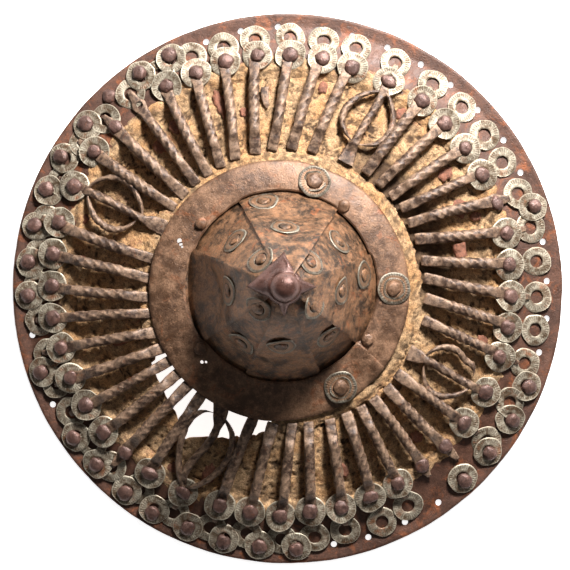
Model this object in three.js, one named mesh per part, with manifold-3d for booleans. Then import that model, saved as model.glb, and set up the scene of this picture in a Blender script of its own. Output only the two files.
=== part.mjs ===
// A round iron buckler with a hollow, eight-sided boss, forty twisted radial bars and
// four openwork knot bars over a decayed backing board. Millimetres, +Z up.
// The shield lies on the flat underside of its rim, boss up; the origin is the centre of
// the rim's outer circle at that underside, and +Y is the side where the bar feet stop
// short of the centre plate.
import * as THREE from "three";
import { mergeVertices } from "three/addons/utils/BufferGeometryUtils.js";
import Module from "manifold-3d";

const wasm = await Module();
wasm.setup();

// ---------------------------------------------------------------- driving dimensions
const GAP = 0.3; // clearance between pieces that touch
const SHIELD_RADIUS = 180;
const DOME_SPHERE_RADIUS = 530; // the face of the shield is part of this sphere
const RIM_FLAT_RADIUS = 172; // outside this the rim is flat
const RIM_INNER_RADIUS = 144;
const RIM_THICKNESS = 1.8;
const RIM_HOLE_RADIUS = 2.3;
const OUTER_ROW_RADIUS = 170.5;
const OUTER_ROW_START = 2.0; // degrees
const BOARD_OUTER_RADIUS = 157;
const BOARD_INNER_RADIUS = 57;
const BOARD_THICKNESS = 4.5;
const SEAT_RADIUS = 70; // the board is level and thicker inside this
const SEAT_SLOPE = 8; // width of the slope down from the seat

const RING_SIDES = 44; // of the rim
const INNER_SIDES = 36; // of the board and the centre plate

const SLOTS = 44;
const SLOTS_PER_QUARTER = 11;
const KNOT_SLOT = 7; // place of the knot bar in each quarter
const KNOT_ANGLE = 63.4; // degrees, first knot bar
const KNOT_NEIGHBOUR_PITCH = 9.65; // degrees on each side of a knot bar
const BAR_WIDTH = 6;
const BAR_LIFT = 2; // underside of a bar above the shield's face
const BAR_INNER_RADIUS = 89;
const FOOT_WIDTH = 8;
const FLAT_THICKNESS = 2; // of a bar's hammered ends
const TWIST = 1; // half turns along a bar
const RIVET_ROW_RADIUS = 149.5;
const ROW_CENTRE = new THREE.Vector2(-4, 2.6); // the rivet row is off centre
const TIP_LENGTH = 6; // bar end past its rivet
const WASHER_RADIUS = 9.5;
const WASHER_THICKNESS = 1;
const RIVET_RADIUS = 4.8;
const RIVET_HEIGHT = 3.2;
const HEAD_SIDES = 6; // of the small washers and rivet heads
const KNOT_STRAND = 4;
const KNOT_BULGE = [12.5, 16]; // of the clockwise and the counterclockwise loop

const PLATE_CENTRE = new THREE.Vector2(-5.6, -1.3);
const PLATE_RADIUS = 85;
const PLATE_OPENING_RADIUS = 62.5;
const PLATE_THICKNESS = 1.8;
const PLATE_RIVET_RADIUS = 74;

const BOSS_CENTRE = new THREE.Vector2(-4.1, 1.6);
const BOSS_LEAN = new THREE.Vector2(3.7, 1.0); // apex from the base centre
const BOSS_HEIGHT = 86;
const GORE_THICKNESS = 1.5;
const GORE_SEAMS = [-36, 18.4, 55.4, 115, 158.5, 214, 248.8, 292.4]; // degrees
const GORE_NAMES = [
  "east", "north_east", "north", "north_west", "west", "south_west", "south", "south_east",
];
const SEGMENTS_PER_GORE = 2;
const BALL_RADIUS = 8.2;

const LOST_RIVETS = [15]; // slots
const LOST_WASHERS = [2, 15, 16, 27, 37, 38];
const KEPT_OUTER_RIVETS = [
  2, 14, 15, 16, 17, 18, 19, 20, 21, 22, 24, 26, 27, 28, 29, 30, 31, 32, 33, 38, 39, 40, 41,
];

// ---------------------------------------------------------------- materials
const iron = (color, roughness) =>
  new THREE.MeshStandardMaterial({ color, roughness, metalness: 0.6 });
const RIM_IRON = iron(0x5f3f34, 0.75);
const BAR_IRON = iron(0x705a50, 0.7);
const PLATE_IRON = iron(0x7d6552, 0.65);
const GORE_IRON = iron(0x6c5040, 0.65);
const CAP_IRON = iron(0x5a4240, 0.45);
const GRIP_IRON = iron(0x54423a, 0.8);
const BOARD_WOOD = new THREE.MeshStandardMaterial({
  color: 0xa68450,
  roughness: 0.95,
  metalness: 0,
});

// ---------------------------------------------------------------- helpers
const radians = THREE.MathUtils.degToRad;
const lerp = THREE.MathUtils.lerp;

// A repeatable number from -1 to 1 for copy i of a repeated piece.
function wobble(i, kind) {
  const wave = Math.sin(i * 12.9898 + kind * 78.233) * 43758.5453;
  return 2 * (wave - Math.floor(wave)) - 1;
}

// Height of the shield's face at a distance from the centre.
function dome(radius) {
  const r = Math.min(radius, RIM_FLAT_RADIUS);
  const edge = Math.sqrt(DOME_SPHERE_RADIUS ** 2 - RIM_FLAT_RADIUS ** 2);
  return Math.sqrt(DOME_SPHERE_RADIUS ** 2 - r ** 2) - edge;
}

// Height of the rim's upper face, straight in section from its flat to its inner edge;
// the same line goes on inwards, where the bars come down from the rim.
function rimTop(radius) {
  const flat = RIM_FLAT_RADIUS - 1;
  const share = Math.max((flat - radius) / (flat - RIM_INNER_RADIUS), 0);
  return RIM_THICKNESS + share * dome(RIM_INNER_RADIUS);
}

function domeTilt(radius) {
  return Math.asin(Math.min(radius, RIM_FLAT_RADIUS) / DOME_SPHERE_RADIUS);
}

function polar(radius, angle) {
  return new THREE.Vector2(radius * Math.cos(angle), radius * Math.sin(angle));
}

function solid(geometry) {
  const bare = geometry.clone();
  bare.deleteAttribute("normal");
  bare.deleteAttribute("uv");
  const merged = mergeVertices(bare, 1e-4);
  const triVerts = [];
  const index = merged.index.array;
  for (let i = 0; i < index.length; i += 3) {
    const [a, b, c] = [index[i], index[i + 1], index[i + 2]];
    if (a !== b && b !== c && c !== a) triVerts.push(a, b, c);
  }
  const mesh = new wasm.Mesh({
    numProp: 3,
    vertProperties: new Float32Array(merged.attributes.position.array),
    triVerts: new Uint32Array(triVerts),
  });
  return new wasm.Manifold(mesh);
}

function join(solids) {
  return solids.reduce((whole, next) => whole.add(next));
}

function piece(name, body, material) {
  const { vertProperties, triVerts } = body.getMesh();
  const geometry = new THREE.BufferGeometry();
  geometry.setAttribute("position", new THREE.BufferAttribute(vertProperties, 3));
  geometry.setIndex(new THREE.BufferAttribute(triVerts, 1));
  geometry.computeVertexNormals();
  const mesh = new THREE.Mesh(geometry, material);
  mesh.name = name;
  return mesh;
}

// Moves every vertex of a geometry to where the rule puts it.
function reshape(geometry, rule) {
  const position = geometry.attributes.position;
  const point = new THREE.Vector3();
  for (let i = 0; i < position.count; i += 1) {
    point.fromBufferAttribute(position, i);
    rule(point, i);
    position.setXYZ(i, point.x, point.y, point.z);
  }
  return geometry;
}

// A solid of revolution about +Z from a list of [radius, height] pairs, counterclockwise
// in the radius-height plane. The list closes on itself or starts and ends on the axis.
function turned(pairs, sides) {
  const points = pairs.map(([radius, height]) => new THREE.Vector2(radius, height));
  return new THREE.LatheGeometry(points, sides).rotateX(Math.PI / 2);
}

function ring(pairs, sides) {
  return turned([...pairs, pairs[0]], sides);
}

// Slides the inside of a ring towards a centre of its own.
function offCentre(geometry, innerRadius, outerRadius, shift) {
  return reshape(geometry, (point) => {
    const radius = Math.hypot(point.x, point.y);
    const share = (outerRadius - radius) / (outerRadius - innerRadius);
    point.x += shift.x * share;
    point.y += shift.y * share;
  });
}

// A washer with its rivet head, its underside at z = 0.
function rivetedWasher(washerRadius, rivetRadius, sides) {
  return turned(
    [
      [0, 0],
      [washerRadius, 0],
      [washerRadius, WASHER_THICKNESS],
      [rivetRadius, WASHER_THICKNESS],
      [rivetRadius * 0.72, WASHER_THICKNESS + RIVET_HEIGHT],
      [0, WASHER_THICKNESS + RIVET_HEIGHT],
    ],
    sides,
  );
}

// A rivet head alone, its underside at z = 0.
function bareRivet(radius, height, sides) {
  return turned([[0, 0], [radius, 0], [radius * 0.72, height], [0, height]], sides);
}

// Lays a geometry built around +Z on a point of the shield, its top leaning outwards.
function laid(geometry, place, height, tilt) {
  const angle = Math.atan2(place.y, place.x);
  return geometry.rotateY(tilt).rotateZ(angle).translate(place.x, place.y, height);
}

// ---------------------------------------------------------------- rim
function outerRowPlace(k) {
  const angle = radians(OUTER_ROW_START + (k * 360) / SLOTS + 0.5 * wobble(k, 1));
  return polar(OUTER_ROW_RADIUS + wobble(k, 2), angle);
}

function rim() {
  const inner = dome(RIM_INNER_RADIUS);
  let body = solid(
    ring(
      [
        [RIM_FLAT_RADIUS, 0],
        [SHIELD_RADIUS, 0],
        [SHIELD_RADIUS, RIM_THICKNESS],
        [RIM_FLAT_RADIUS - 1, RIM_THICKNESS],
        [RIM_INNER_RADIUS, inner + RIM_THICKNESS],
        [RIM_INNER_RADIUS, inner],
      ],
      RING_SIDES,
    ),
  );
  for (let k = 0; k < SLOTS; k += 1) {
    const place = outerRowPlace(k);
    if (!KEPT_OUTER_RIVETS.includes(k)) {
      const drill = new THREE.CylinderGeometry(RIM_HOLE_RADIUS, RIM_HOLE_RADIUS, 20, 6);
      body = body.subtract(solid(drill.rotateX(Math.PI / 2).translate(place.x, place.y, 0)));
    } else {
      const head = bareRivet(RIVET_RADIUS, RIVET_HEIGHT + 1.5, HEAD_SIDES);
      body = body.add(solid(laid(head, place, RIM_THICKNESS - 0.5, 0)));
    }
  }
  return piece("rim", body, RIM_IRON);
}

// ---------------------------------------------------------------- backing board
// The board is gone between the lower left bars: angle in degrees and outer radius of the
// break, whose inner side runs along the plate.
const BREAK_OUTLINE = [
  [206, 93], [209, 101], [220, 105], [229, 109], [235, 119], [240, 111], [250, 103],
  [258, 97], [263, 91],
];
const BREAK_INNER_RADIUS = 80;

function backingBoard() {
  const face = (radius) => dome(radius) - GAP;
  const back = (radius) => dome(radius) - GAP - BOARD_THICKNESS;
  const seat = dome(60) - GAP;
  const profile = [
    [BOARD_INNER_RADIUS, back(BOARD_INNER_RADIUS)],
    [120, back(120)],
    [BOARD_OUTER_RADIUS, back(BOARD_OUTER_RADIUS)],
    [BOARD_OUTER_RADIUS, face(BOARD_OUTER_RADIUS) - 0.4],
    [120, face(120)],
    [SEAT_RADIUS + SEAT_SLOPE, face(SEAT_RADIUS + SEAT_SLOPE)],
    [SEAT_RADIUS, seat],
    [BOARD_INNER_RADIUS, seat],
  ];
  const board = offCentre(ring(profile, INNER_SIDES), BOARD_INNER_RADIUS, 157, BOSS_CENTRE);
  const outline = BREAK_OUTLINE.map(([degrees, radius]) => polar(radius, radians(degrees)));
  const [first, last] = [BREAK_OUTLINE[0][0], BREAK_OUTLINE.at(-1)[0]];
  for (let step = 4; step >= 0; step -= 1) {
    outline.push(polar(BREAK_INNER_RADIUS, radians(lerp(first, last, step / 4))));
  }
  const gone = new THREE.ExtrudeGeometry(new THREE.Shape(outline), {
    depth: 60,
    bevelEnabled: false,
  });
  return piece("backing_board", solid(board).subtract(solid(gone)), BOARD_WOOD);
}

// ---------------------------------------------------------------- radial bars
// How far a bar's foot is turned from its rivet about the centre, in degrees, for each
// place in a quarter.
const LEAN = [4.4, 5.4, 4.6, 3.0, 1.4, 0.4, -0.6, -0.6, 4.2, 5.1, 5.3];

function knotAngle(quarter) {
  return KNOT_ANGLE + 90 * quarter + 1.1 * Math.cos(radians(90 * quarter - 60));
}

// The bars between two knot bars share what room the knots and their neighbours leave.
function slotAngle(slot) {
  const quarter = Math.floor(slot / SLOTS_PER_QUARTER);
  const steps = (slot % SLOTS_PER_QUARTER) - KNOT_SLOT;
  const knot = knotAngle(quarter);
  if (steps === 0) return radians(knot);
  const span = Math.abs(knotAngle(quarter + Math.sign(steps)) - knot);
  const pitch = (span - 2 * KNOT_NEIGHBOUR_PITCH) / (SLOTS_PER_QUARTER - 2);
  const away = KNOT_NEIGHBOUR_PITCH + (Math.abs(steps) - 1) * pitch;
  return radians(knot + Math.sign(steps) * away + 0.15 * wobble(slot, 3));
}

function rivetPlace(slot) {
  const angle = slotAngle(slot);
  const reach = RIVET_ROW_RADIUS + wobble(slot, 4) + ROW_CENTRE.dot(polar(1, angle));
  return polar(reach, angle);
}

function footPlace(slot) {
  const angle = slotAngle(slot);
  const lean = LEAN[slot % SLOTS_PER_QUARTER] + 0.2 + 1.95 * Math.cos(angle - radians(58));
  return polar(BAR_INNER_RADIUS + 0.8 * wobble(slot, 5), angle + radians(lean));
}

// Where a bar's stations lie along it, as shares of its length, with the width and height
// of the section there. The section turns between the second and the last but two.
function stations(turns) {
  const list = [{ share: 0, width: FOOT_WIDTH, height: FLAT_THICKNESS, turn: 0 }];
  for (let i = 0; i <= turns; i += 1) {
    const share = lerp(0.16, 0.7, i / turns);
    list.push({ share, width: BAR_WIDTH, height: BAR_WIDTH, turn: (i * TWIST) / turns });
  }
  list.push({ share: 0.765, width: 7, height: FLAT_THICKNESS, turn: TWIST });
  list.push({ share: 1, width: 4.5, height: FLAT_THICKNESS, turn: TWIST });
  return list;
}

// A bar from its foot to its tip, through the stations, bowed sideways by a rule.
function hammeredBar(foot, tip, list, sideways) {
  const box = new THREE.BoxGeometry(list.length - 1, 1, 1, list.length - 1, 1, 1);
  const along = tip.clone().sub(foot).normalize();
  const across = new THREE.Vector2(-along.y, along.x);
  return reshape(box, (point) => {
    const station = list[Math.round(point.x + (list.length - 1) / 2)];
    const angle = Math.PI * station.turn;
    const y = point.y * station.width * Math.cos(angle) - point.z * station.height * Math.sin(angle);
    const z = point.y * station.width * Math.sin(angle) + point.z * station.height * Math.cos(angle);
    const centre = foot.clone().lerp(tip, station.share);
    centre.addScaledVector(across, y + sideways(station.share));
    const flat = 1 - (station.height - FLAT_THICKNESS) / (BAR_WIDTH - FLAT_THICKNESS);
    const radius = centre.length();
    const onRim = radius > RIM_INNER_RADIUS - 12;
    const rest = onRim ? rimTop(radius) + GAP : dome(radius) + lerp(BAR_LIFT, GAP, flat);
    point.set(centre.x, centre.y, rest + station.height / 2 + z);
  });
}

function tipWashers(slot) {
  const place = rivetPlace(slot);
  const solids = [];
  const height = rimTop(place.length()) + GAP + FLAT_THICKNESS - 0.4;
  if (!LOST_WASHERS.includes(slot)) {
    const tilt = radians(16 + 3 * wobble(slot, 6));
    const head = rivetedWasher(WASHER_RADIUS, RIVET_RADIUS, HEAD_SIDES);
    solids.push(solid(laid(head, place, height, tilt)));
  } else if (!LOST_RIVETS.includes(slot)) {
    const head = bareRivet(RIVET_RADIUS, RIVET_HEIGHT + 1, HEAD_SIDES);
    solids.push(solid(laid(head, place, height, domeTilt(place.length()))));
  }
  return solids;
}

function plainBar(slot) {
  const place = rivetPlace(slot);
  const foot = footPlace(slot);
  const tip = place.clone().setLength(place.length() + TIP_LENGTH);
  const bow = 1.2 * wobble(slot, 7);
  const bar = hammeredBar(foot, tip, stations(3), (s) => bow * Math.sin(Math.PI * s));
  const name = `bar_${String(slot + 1).padStart(2, "0")}`;
  return piece(name, join([solid(bar), ...tipWashers(slot)]), BAR_IRON);
}

// Three strands leave the rivet end: one straight, two in loops that meet at the foot.
function knotBar(slot) {
  const place = rivetPlace(slot);
  const foot = footPlace(slot);
  const tip = place.clone().setLength(place.length() + TIP_LENGTH);
  const straight = hammeredBar(foot, tip, stations(2), () => 0);
  const strands = [solid(straight)];
  for (const side of [-1, 1]) {
    const list = [];
    for (let i = 0; i <= 5; i += 1) {
      const share = lerp(0.12, 0.8, i / 5);
      list.push({ share, width: KNOT_STRAND, height: KNOT_STRAND, turn: 0 });
    }
    const bulge = (s) => {
      const t = (s - 0.12) / 0.68;
      const reach = side < 0 ? -KNOT_BULGE[0] : KNOT_BULGE[1];
      return reach * Math.max(Math.sin(Math.PI * t), 0) ** 0.8;
    };
    strands.push(solid(hammeredBar(foot, tip, list, bulge)));
  }
  const number = Math.floor(slot / SLOTS_PER_QUARTER) + 1;
  return piece(`knot_bar_${number}`, join([...strands, ...tipWashers(slot)]), BAR_IRON);
}

// A flat tongue of iron that lies loose on the board between two bars.
function looseTongue() {
  const place = polar(125, radians(96.4));
  const tongue = new THREE.CylinderGeometry(3.4, 2.2, 1.4, 8).rotateX(Math.PI / 2);
  reshape(tongue, (point) => {
    point.x *= 2.2;
  });
  const height = dome(place.length()) + 1.6;
  return piece("iron_tongue", solid(laid(tongue, place, height, domeTilt(125))), BAR_IRON);
}

// ---------------------------------------------------------------- centre plate
const SEAT_HEIGHT = dome(60); // underside of the gores' flange
const FLANGE_TOP = SEAT_HEIGHT + 2 * GORE_THICKNESS + GAP;

function plateUnderside(radius) {
  const share = (radius - 68) / (PLATE_RADIUS - 68);
  const edge = dome(BAR_INNER_RADIUS) + FLAT_THICKNESS + 3 * GAP;
  return share < 0 ? FLANGE_TOP + GAP : lerp(FLANGE_TOP + GAP, edge, share);
}

function centrePlate() {
  const radii = [PLATE_OPENING_RADIUS, 68, PLATE_RADIUS];
  const under = radii.map((radius) => [radius, plateUnderside(radius)]);
  const over = radii.map((radius) => [radius, plateUnderside(radius) + PLATE_THICKNESS]);
  const opening = BOSS_CENTRE.clone().sub(PLATE_CENTRE);
  const annulus = ring([...under, ...over.reverse()], INNER_SIDES);
  const solids = [solid(offCentre(annulus, PLATE_OPENING_RADIUS, PLATE_RADIUS, opening))];
  for (const degrees of [72, 1, -57.5]) {
    const place = polar(PLATE_RIVET_RADIUS, radians(degrees));
    const head = rivetedWasher(10.8, 6, 7);
    const top = plateUnderside(PLATE_RIVET_RADIUS) + PLATE_THICKNESS - 0.3;
    solids.push(solid(laid(head, place, top, radians(14))));
  }
  for (const degrees of [52, 142, 218, 328]) {
    const place = polar(PLATE_OPENING_RADIUS + 3, radians(degrees)).add(opening);
    const head = bareRivet(4.2, 2.4, 6);
    solids.push(solid(laid(head, place, FLANGE_TOP + GAP + PLATE_THICKNESS - 0.2, 0)));
  }
  const body = join(solids).translate([PLATE_CENTRE.x, PLATE_CENTRE.y, 0]);
  return piece("centre_plate", body, PLATE_IRON);
}

// ---------------------------------------------------------------- boss
// The boss's section from the flange to the apex: distance from the axis and height.
const BOSS_PROFILE = [
  [66, 0], [59.5, 0], [53, 14], [43, 36], [31, 58], [17, 74.5], [5, 83],
];

// The section moved outwards by a distance, square to itself, its two ends straight up.
function bossSection(distance) {
  return BOSS_PROFILE.map(([radius, height], i) => {
    const [r0, h0] = BOSS_PROFILE[Math.max(i - 1, 0)];
    const [r1, h1] = BOSS_PROFILE[Math.min(i + 1, BOSS_PROFILE.length - 1)];
    const normal = new THREE.Vector2(h1 - h0, r0 - r1).normalize();
    const end = i === 0 || i === BOSS_PROFILE.length - 1;
    if (end) return [radius, height + distance / normal.y];
    return [radius + normal.x * distance, height + normal.y * distance];
  });
}

// How much of the round section's distance a flat face keeps at an angle and a height.
function facetShare(degrees, height) {
  const seams = [...GORE_SEAMS, GORE_SEAMS[0] + 360];
  const turn = THREE.MathUtils.euclideanModulo(degrees - seams[0], 360) + seams[0];
  const face = Math.min(seams.filter((seam) => seam <= turn + 1e-6).length, 8) - 1;
  const half = radians(seams[face + 1] - seams[face]) / 2;
  const middle = radians(seams[face + 1] + seams[face]) / 2;
  const flat = Math.cos(half) / Math.cos(radians(turn) - middle);
  const amount = 0.95 * THREE.MathUtils.clamp(height / 25, 0, 1);
  return lerp(1, flat, amount);
}

// The faceted boss between two distances from the section.
function bossBody(inner, outer) {
  const inside = bossSection(inner);
  const outside = bossSection(outer);
  const count = GORE_NAMES.length * SEGMENTS_PER_GORE;
  const shell = ring([...outside, ...inside.reverse()], count);
  const rows = [...BOSS_PROFILE, ...BOSS_PROFILE.toReversed(), BOSS_PROFILE[0]];
  const seams = [...GORE_SEAMS, GORE_SEAMS[0] + 360];
  reshape(shell, (point, i) => {
    const turn = Math.atan2(point.x, -point.y) / (2 * Math.PI);
    const step = Math.round(THREE.MathUtils.euclideanModulo(turn, 1) * count) % count;
    const face = Math.floor(step / SEGMENTS_PER_GORE);
    const share = (step % SEGMENTS_PER_GORE) / SEGMENTS_PER_GORE;
    const degrees = lerp(seams[face], seams[face + 1], share);
    const height = rows[i % rows.length][1];
    const radius = Math.hypot(point.x, point.y) * facetShare(degrees, height);
    const place = polar(radius, radians(degrees));
    point.set(place.x, place.y, point.z);
  });
  return solid(shell);
}

const LOWER_GORE = [0, GORE_THICKNESS];
const UPPER_GORE = [GORE_THICKNESS + GAP, 2 * GORE_THICKNESS + GAP];

// Washers on each gore: angle in degrees, height on the boss.
const GORE_WASHERS = {
  east: [[-5, 41], [8, 17]],
  north_east: [[44, 66], [35, 35]],
  north: [[90, 40], [103, 11]],
  north_west: [[137, 66], [140, 34]],
  west: [[187, 40]],
  south_west: [[222, 66], [231, 27]],
  south: [[265, 38]],
  south_east: [[-39, 67], [-50, 34]],
};

// A point on the outside of a gore, for an angle and a height.
function gorePoint(degrees, height, distance) {
  const section = bossSection(distance);
  const top = section.findIndex((pair) => pair[1] >= height && pair[0] < 59);
  const [r0, h0] = section[top - 1];
  const [r1, h1] = section[top];
  const radius = lerp(r0, r1, (height - h0) / (h1 - h0)) * facetShare(degrees, height);
  const place = polar(radius, radians(degrees));
  return new THREE.Vector3(place.x, place.y, height);
}

function goreWasher(degrees, height, distance) {
  const centre = gorePoint(degrees, height, distance);
  const up = gorePoint(degrees, height + 3, distance).sub(centre);
  const round = gorePoint(degrees + 4, height, distance).sub(centre);
  const normal = round.cross(up).normalize();
  const turn = new THREE.Quaternion().setFromUnitVectors(new THREE.Vector3(0, 0, 1), normal);
  const washer = turned(
    [[0, -1], [9.5, -1], [9.5, 0.9], [4.6, 0.9], [3.6, 2.6], [0, 2.6]],
    HEAD_SIDES,
  );
  return washer.applyQuaternion(turn).translate(centre.x, centre.y, centre.z);
}

// Leans the boss over and stands it on the shield.
function standBoss(body) {
  const lean = BOSS_LEAN.clone().divideScalar(BOSS_HEIGHT);
  return body.transform([
    1, 0, 0, 0,
    0, 1, 0, 0,
    lean.x, lean.y, 1, 0,
    BOSS_CENTRE.x, BOSS_CENTRE.y, SEAT_HEIGHT, 1,
  ]);
}

// The space over one face of the boss, from the axis out, past each seam by an angle.
function sector(index, degreesPast) {
  const seams = [...GORE_SEAMS, GORE_SEAMS[0] + 360];
  const [start, end] = [seams[index] - degreesPast, seams[index + 1] + degreesPast];
  const corners = [new THREE.Vector2(0, 0)];
  for (let step = 0; step <= 2; step += 1) {
    corners.push(polar(120, radians(lerp(start, end, step / 2))));
  }
  const outline = new THREE.Shape(corners);
  const prism = new THREE.ExtrudeGeometry(outline, { depth: 120, bevelEnabled: false });
  return solid(prism.translate(0, 0, -10));
}

function gore(index) {
  const name = GORE_NAMES[index];
  const upper = index % 2 === 0;
  const [from, to] = upper ? UPPER_GORE : LOWER_GORE;
  const wedge = sector(index, upper ? 1.5 : 4.5);
  const face = sector(index, upper ? 1.5 : -3);
  const sheet = bossBody(-1, to).subtract(bossBody(-2, from)).intersect(wedge);
  const washers = GORE_WASHERS[name].map(([degrees, height]) =>
    solid(goreWasher(degrees, height, to)).intersect(face));
  return piece(`gore_${name}`, standBoss(join([sheet, ...washers])), GORE_IRON);
}

// The cap hugs the gores with four points and carries the ball.
function starCap() {
  const pointRadius = 19;
  const valleyRadius = 11.5;
  const underside = (radius) => {
    const section = bossSection(UPPER_GORE[1] + 1.3);
    const place = Math.max(radius, 5);
    const top = section.findIndex((pair) => pair[0] <= place);
    if (top < 0) return section.at(-1)[1];
    const [r0, h0] = section[top - 1];
    const [r1, h1] = section[top];
    return lerp(h0, h1, (place - r0) / (r1 - r0));
  };
  const rows = [[0, 0], [0.5, 0], [1, 0], [1, 1.6], [0.5, 2.6], [0, 4]];
  const cap = turned(rows.map(([share, lift]) => [share * 10, lift]), 16);
  reshape(cap, (point) => {
    const angle = Math.atan2(point.y, point.x);
    const reach = lerp(valleyRadius, pointRadius, Math.abs(Math.cos(2 * angle)) ** 3 *
      (Math.cos(4 * angle) > 0 ? 1 : 0));
    const radius = (Math.hypot(point.x, point.y) / 10) * reach;
    const place = polar(radius, angle);
    point.set(place.x, place.y, underside(radius) + point.z);
  });
  const top = underside(0) + 2.6 + BALL_RADIUS;
  const ball = new THREE.SphereGeometry(BALL_RADIUS, 10, 7).rotateX(Math.PI / 2);
  const body = solid(cap).add(solid(ball.translate(0, 0, top)));
  return piece("star_cap", standBoss(body), CAP_IRON);
}

// ---------------------------------------------------------------- hand grip
// A plain iron bar across the back of the hollow, flat at its ends under the board.
function handGrip() {
  const halfLength = BOARD_INNER_RADIUS + 21;
  const endTop = dome(halfLength + 6) - 2 * GAP - BOARD_THICKNESS;
  const side = new THREE.Shape();
  const handle = 44;
  side.moveTo(-halfLength, endTop - 3);
  side.lineTo(-handle - 8, endTop - 3);
  side.lineTo(-handle, endTop - 9);
  side.lineTo(handle, endTop - 9);
  side.lineTo(handle + 8, endTop - 3);
  side.lineTo(halfLength, endTop - 3);
  side.lineTo(halfLength, endTop);
  side.lineTo(handle + 8, endTop);
  side.lineTo(handle, endTop + 2);
  side.lineTo(-handle, endTop + 2);
  side.lineTo(-handle - 8, endTop);
  side.lineTo(-halfLength, endTop);
  const bar = new THREE.ExtrudeGeometry(side, { depth: 20, bevelEnabled: false });
  bar.translate(0, 0, -10).rotateX(Math.PI / 2).rotateZ(Math.PI / 2);
  bar.translate(BOSS_CENTRE.x, BOSS_CENTRE.y, 0);
  return piece("hand_grip", solid(bar), GRIP_IRON);
}

// ---------------------------------------------------------------- the shield
const group = new THREE.Group();
group.add(rim(), backingBoard());
for (let slot = 0; slot < SLOTS; slot += 1) {
  const knot = slot % SLOTS_PER_QUARTER === KNOT_SLOT;
  group.add(knot ? knotBar(slot) : plainBar(slot));
}
group.add(looseTongue(), centrePlate());
for (let index = 0; index < GORE_NAMES.length; index += 1) {
  group.add(gore(index));
}
group.add(starCap(), handGrip());

export default group;
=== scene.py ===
import math

import bmesh
import bpy
from mathutils import Matrix, Vector, noise


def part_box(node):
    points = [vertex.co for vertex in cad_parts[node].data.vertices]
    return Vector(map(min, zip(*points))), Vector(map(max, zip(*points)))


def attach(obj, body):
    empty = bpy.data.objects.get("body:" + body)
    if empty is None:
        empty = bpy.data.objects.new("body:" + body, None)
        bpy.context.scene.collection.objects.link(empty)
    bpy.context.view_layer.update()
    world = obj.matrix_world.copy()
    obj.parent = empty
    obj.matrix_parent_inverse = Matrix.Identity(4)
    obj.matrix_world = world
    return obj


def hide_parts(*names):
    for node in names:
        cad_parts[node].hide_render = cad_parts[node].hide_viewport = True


bl_info = {
    "name": "Iron buckler",
    "version": (1, 0, 0),
    "blender": (4, 5, 0),
    "location": "View3D > Sidebar > Buckler",
    "description": "A decayed iron buckler with a faceted boss, twisted bars and washers",
    "category": "Add Mesh",
}

NOISE_SEED = 7  # the noise that pushes points about is the same in every run

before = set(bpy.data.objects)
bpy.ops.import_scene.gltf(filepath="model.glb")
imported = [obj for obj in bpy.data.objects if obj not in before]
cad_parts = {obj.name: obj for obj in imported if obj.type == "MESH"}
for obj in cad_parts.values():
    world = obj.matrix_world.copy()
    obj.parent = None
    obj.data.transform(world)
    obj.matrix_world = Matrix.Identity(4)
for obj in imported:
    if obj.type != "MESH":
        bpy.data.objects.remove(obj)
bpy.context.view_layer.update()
noise.seed_set(NOISE_SEED)

# ------------------------------------------------------------------ sizes, millimetres
MM = 0.001  # metres in a millimetre
GAP = 0.3
DOME_SPHERE_RADIUS = 530
RIM_FLAT_RADIUS = 172
RIM_INNER_RADIUS = 144
RIM_HOLE_RADIUS = 2.0
OUTER_ROW_RADIUS = 170.5
OUTER_ROW_START = 2.0
BOARD_OUTER_RADIUS = 157
BOARD_INNER_RADIUS = 57
BOARD_THICKNESS = 4.5
SEAT_RADIUS = 70
SEAT_SLOPE = 8
SLOTS = 44
SLOTS_PER_QUARTER = 11
KNOT_SLOT = 7
BENT_KNOT_SLOT = 29
KNOT_ANGLE = 63.4
KNOT_NEIGHBOUR_PITCH = 9.65
BAR_LIFT = 2
BAR_INNER_RADIUS = 89
TUCKED_FEET = 2.5  # how much nearer the axis the feet start on the left
RIVET_ROW_RADIUS = 149.5
RIVET_SHANK_RADIUS = 2.2
ROW_CENTRE = Vector((-4, 2.6, 0))
SECOND_ROW_RADIUS = 163
KNOT_LOOPS = (
    # for each knot bar its two loops: start and end radius, radius and size of the bulge,
    # and how far the outer end stops short to the side
    ((104, 143, 121, -16.5, 0), (104, 142, 120, 16, 0)),
    ((105, 146, 127, -17, 0), (107, 144, 123, 15.5, 0)),
    ((93, 146, 110, -15.5, 0), (93, 146, 115, 18, 0)),
    ((101, 135, 116, -16.5, 0), (99, 133, 114, 15.5, 6)),
)
PLATE_CENTRE = Vector((-5.6, -1.3, 0))
PLATE_RADIUS = 85
PLATE_OPENING_RADIUS = 62.5
PLATE_RIVET_RADIUS = 74
BOSS_CENTRE = Vector((-4.1, 1.6, 0))
BOSS_LEAN = Vector((2.2, -0.5, 0))
BOSS_HEIGHT = 86
GORE_SEAMS = (-36, 18.4, 55.4, 115, 158.5, 214, 248.8, 292.4)
GORE_NAMES = (
    "east", "north_east", "north", "north_west", "west", "south_west", "south", "south_east",
)
BOSS_PROFILE = ((66, 0), (59.5, 0), (53, 14), (43, 36), (31, 58), (17, 74.5), (5, 83))
LOST_RIVETS = (15,)
LOST_WASHERS = (2, 15, 16, 27, 37, 38)
LOST_SECOND_WASHERS = (37, 38)
KEPT_OUTER_RIVETS = (
    2, 14, 15, 16, 17, 18, 19, 20, 21, 22, 24, 26, 27, 28, 29, 30, 31, 32, 33, 38, 39, 40, 41,
)
OUTER_RIVETS_WITHOUT_WASHER = (16,)
LEAN = (4.4, 5.4, 4.6, 3.0, 1.4, 0.4, -0.6, -0.6, 4.2, 5.1, 5.3)
BREAK_OUTLINE = (
    (206, 93), (209, 101), (220, 105), (229, 109), (235, 119), (240, 111), (250, 103),
    (258, 97), (263, 91),
)
BREAK_INNER_RADIUS = 80
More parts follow.
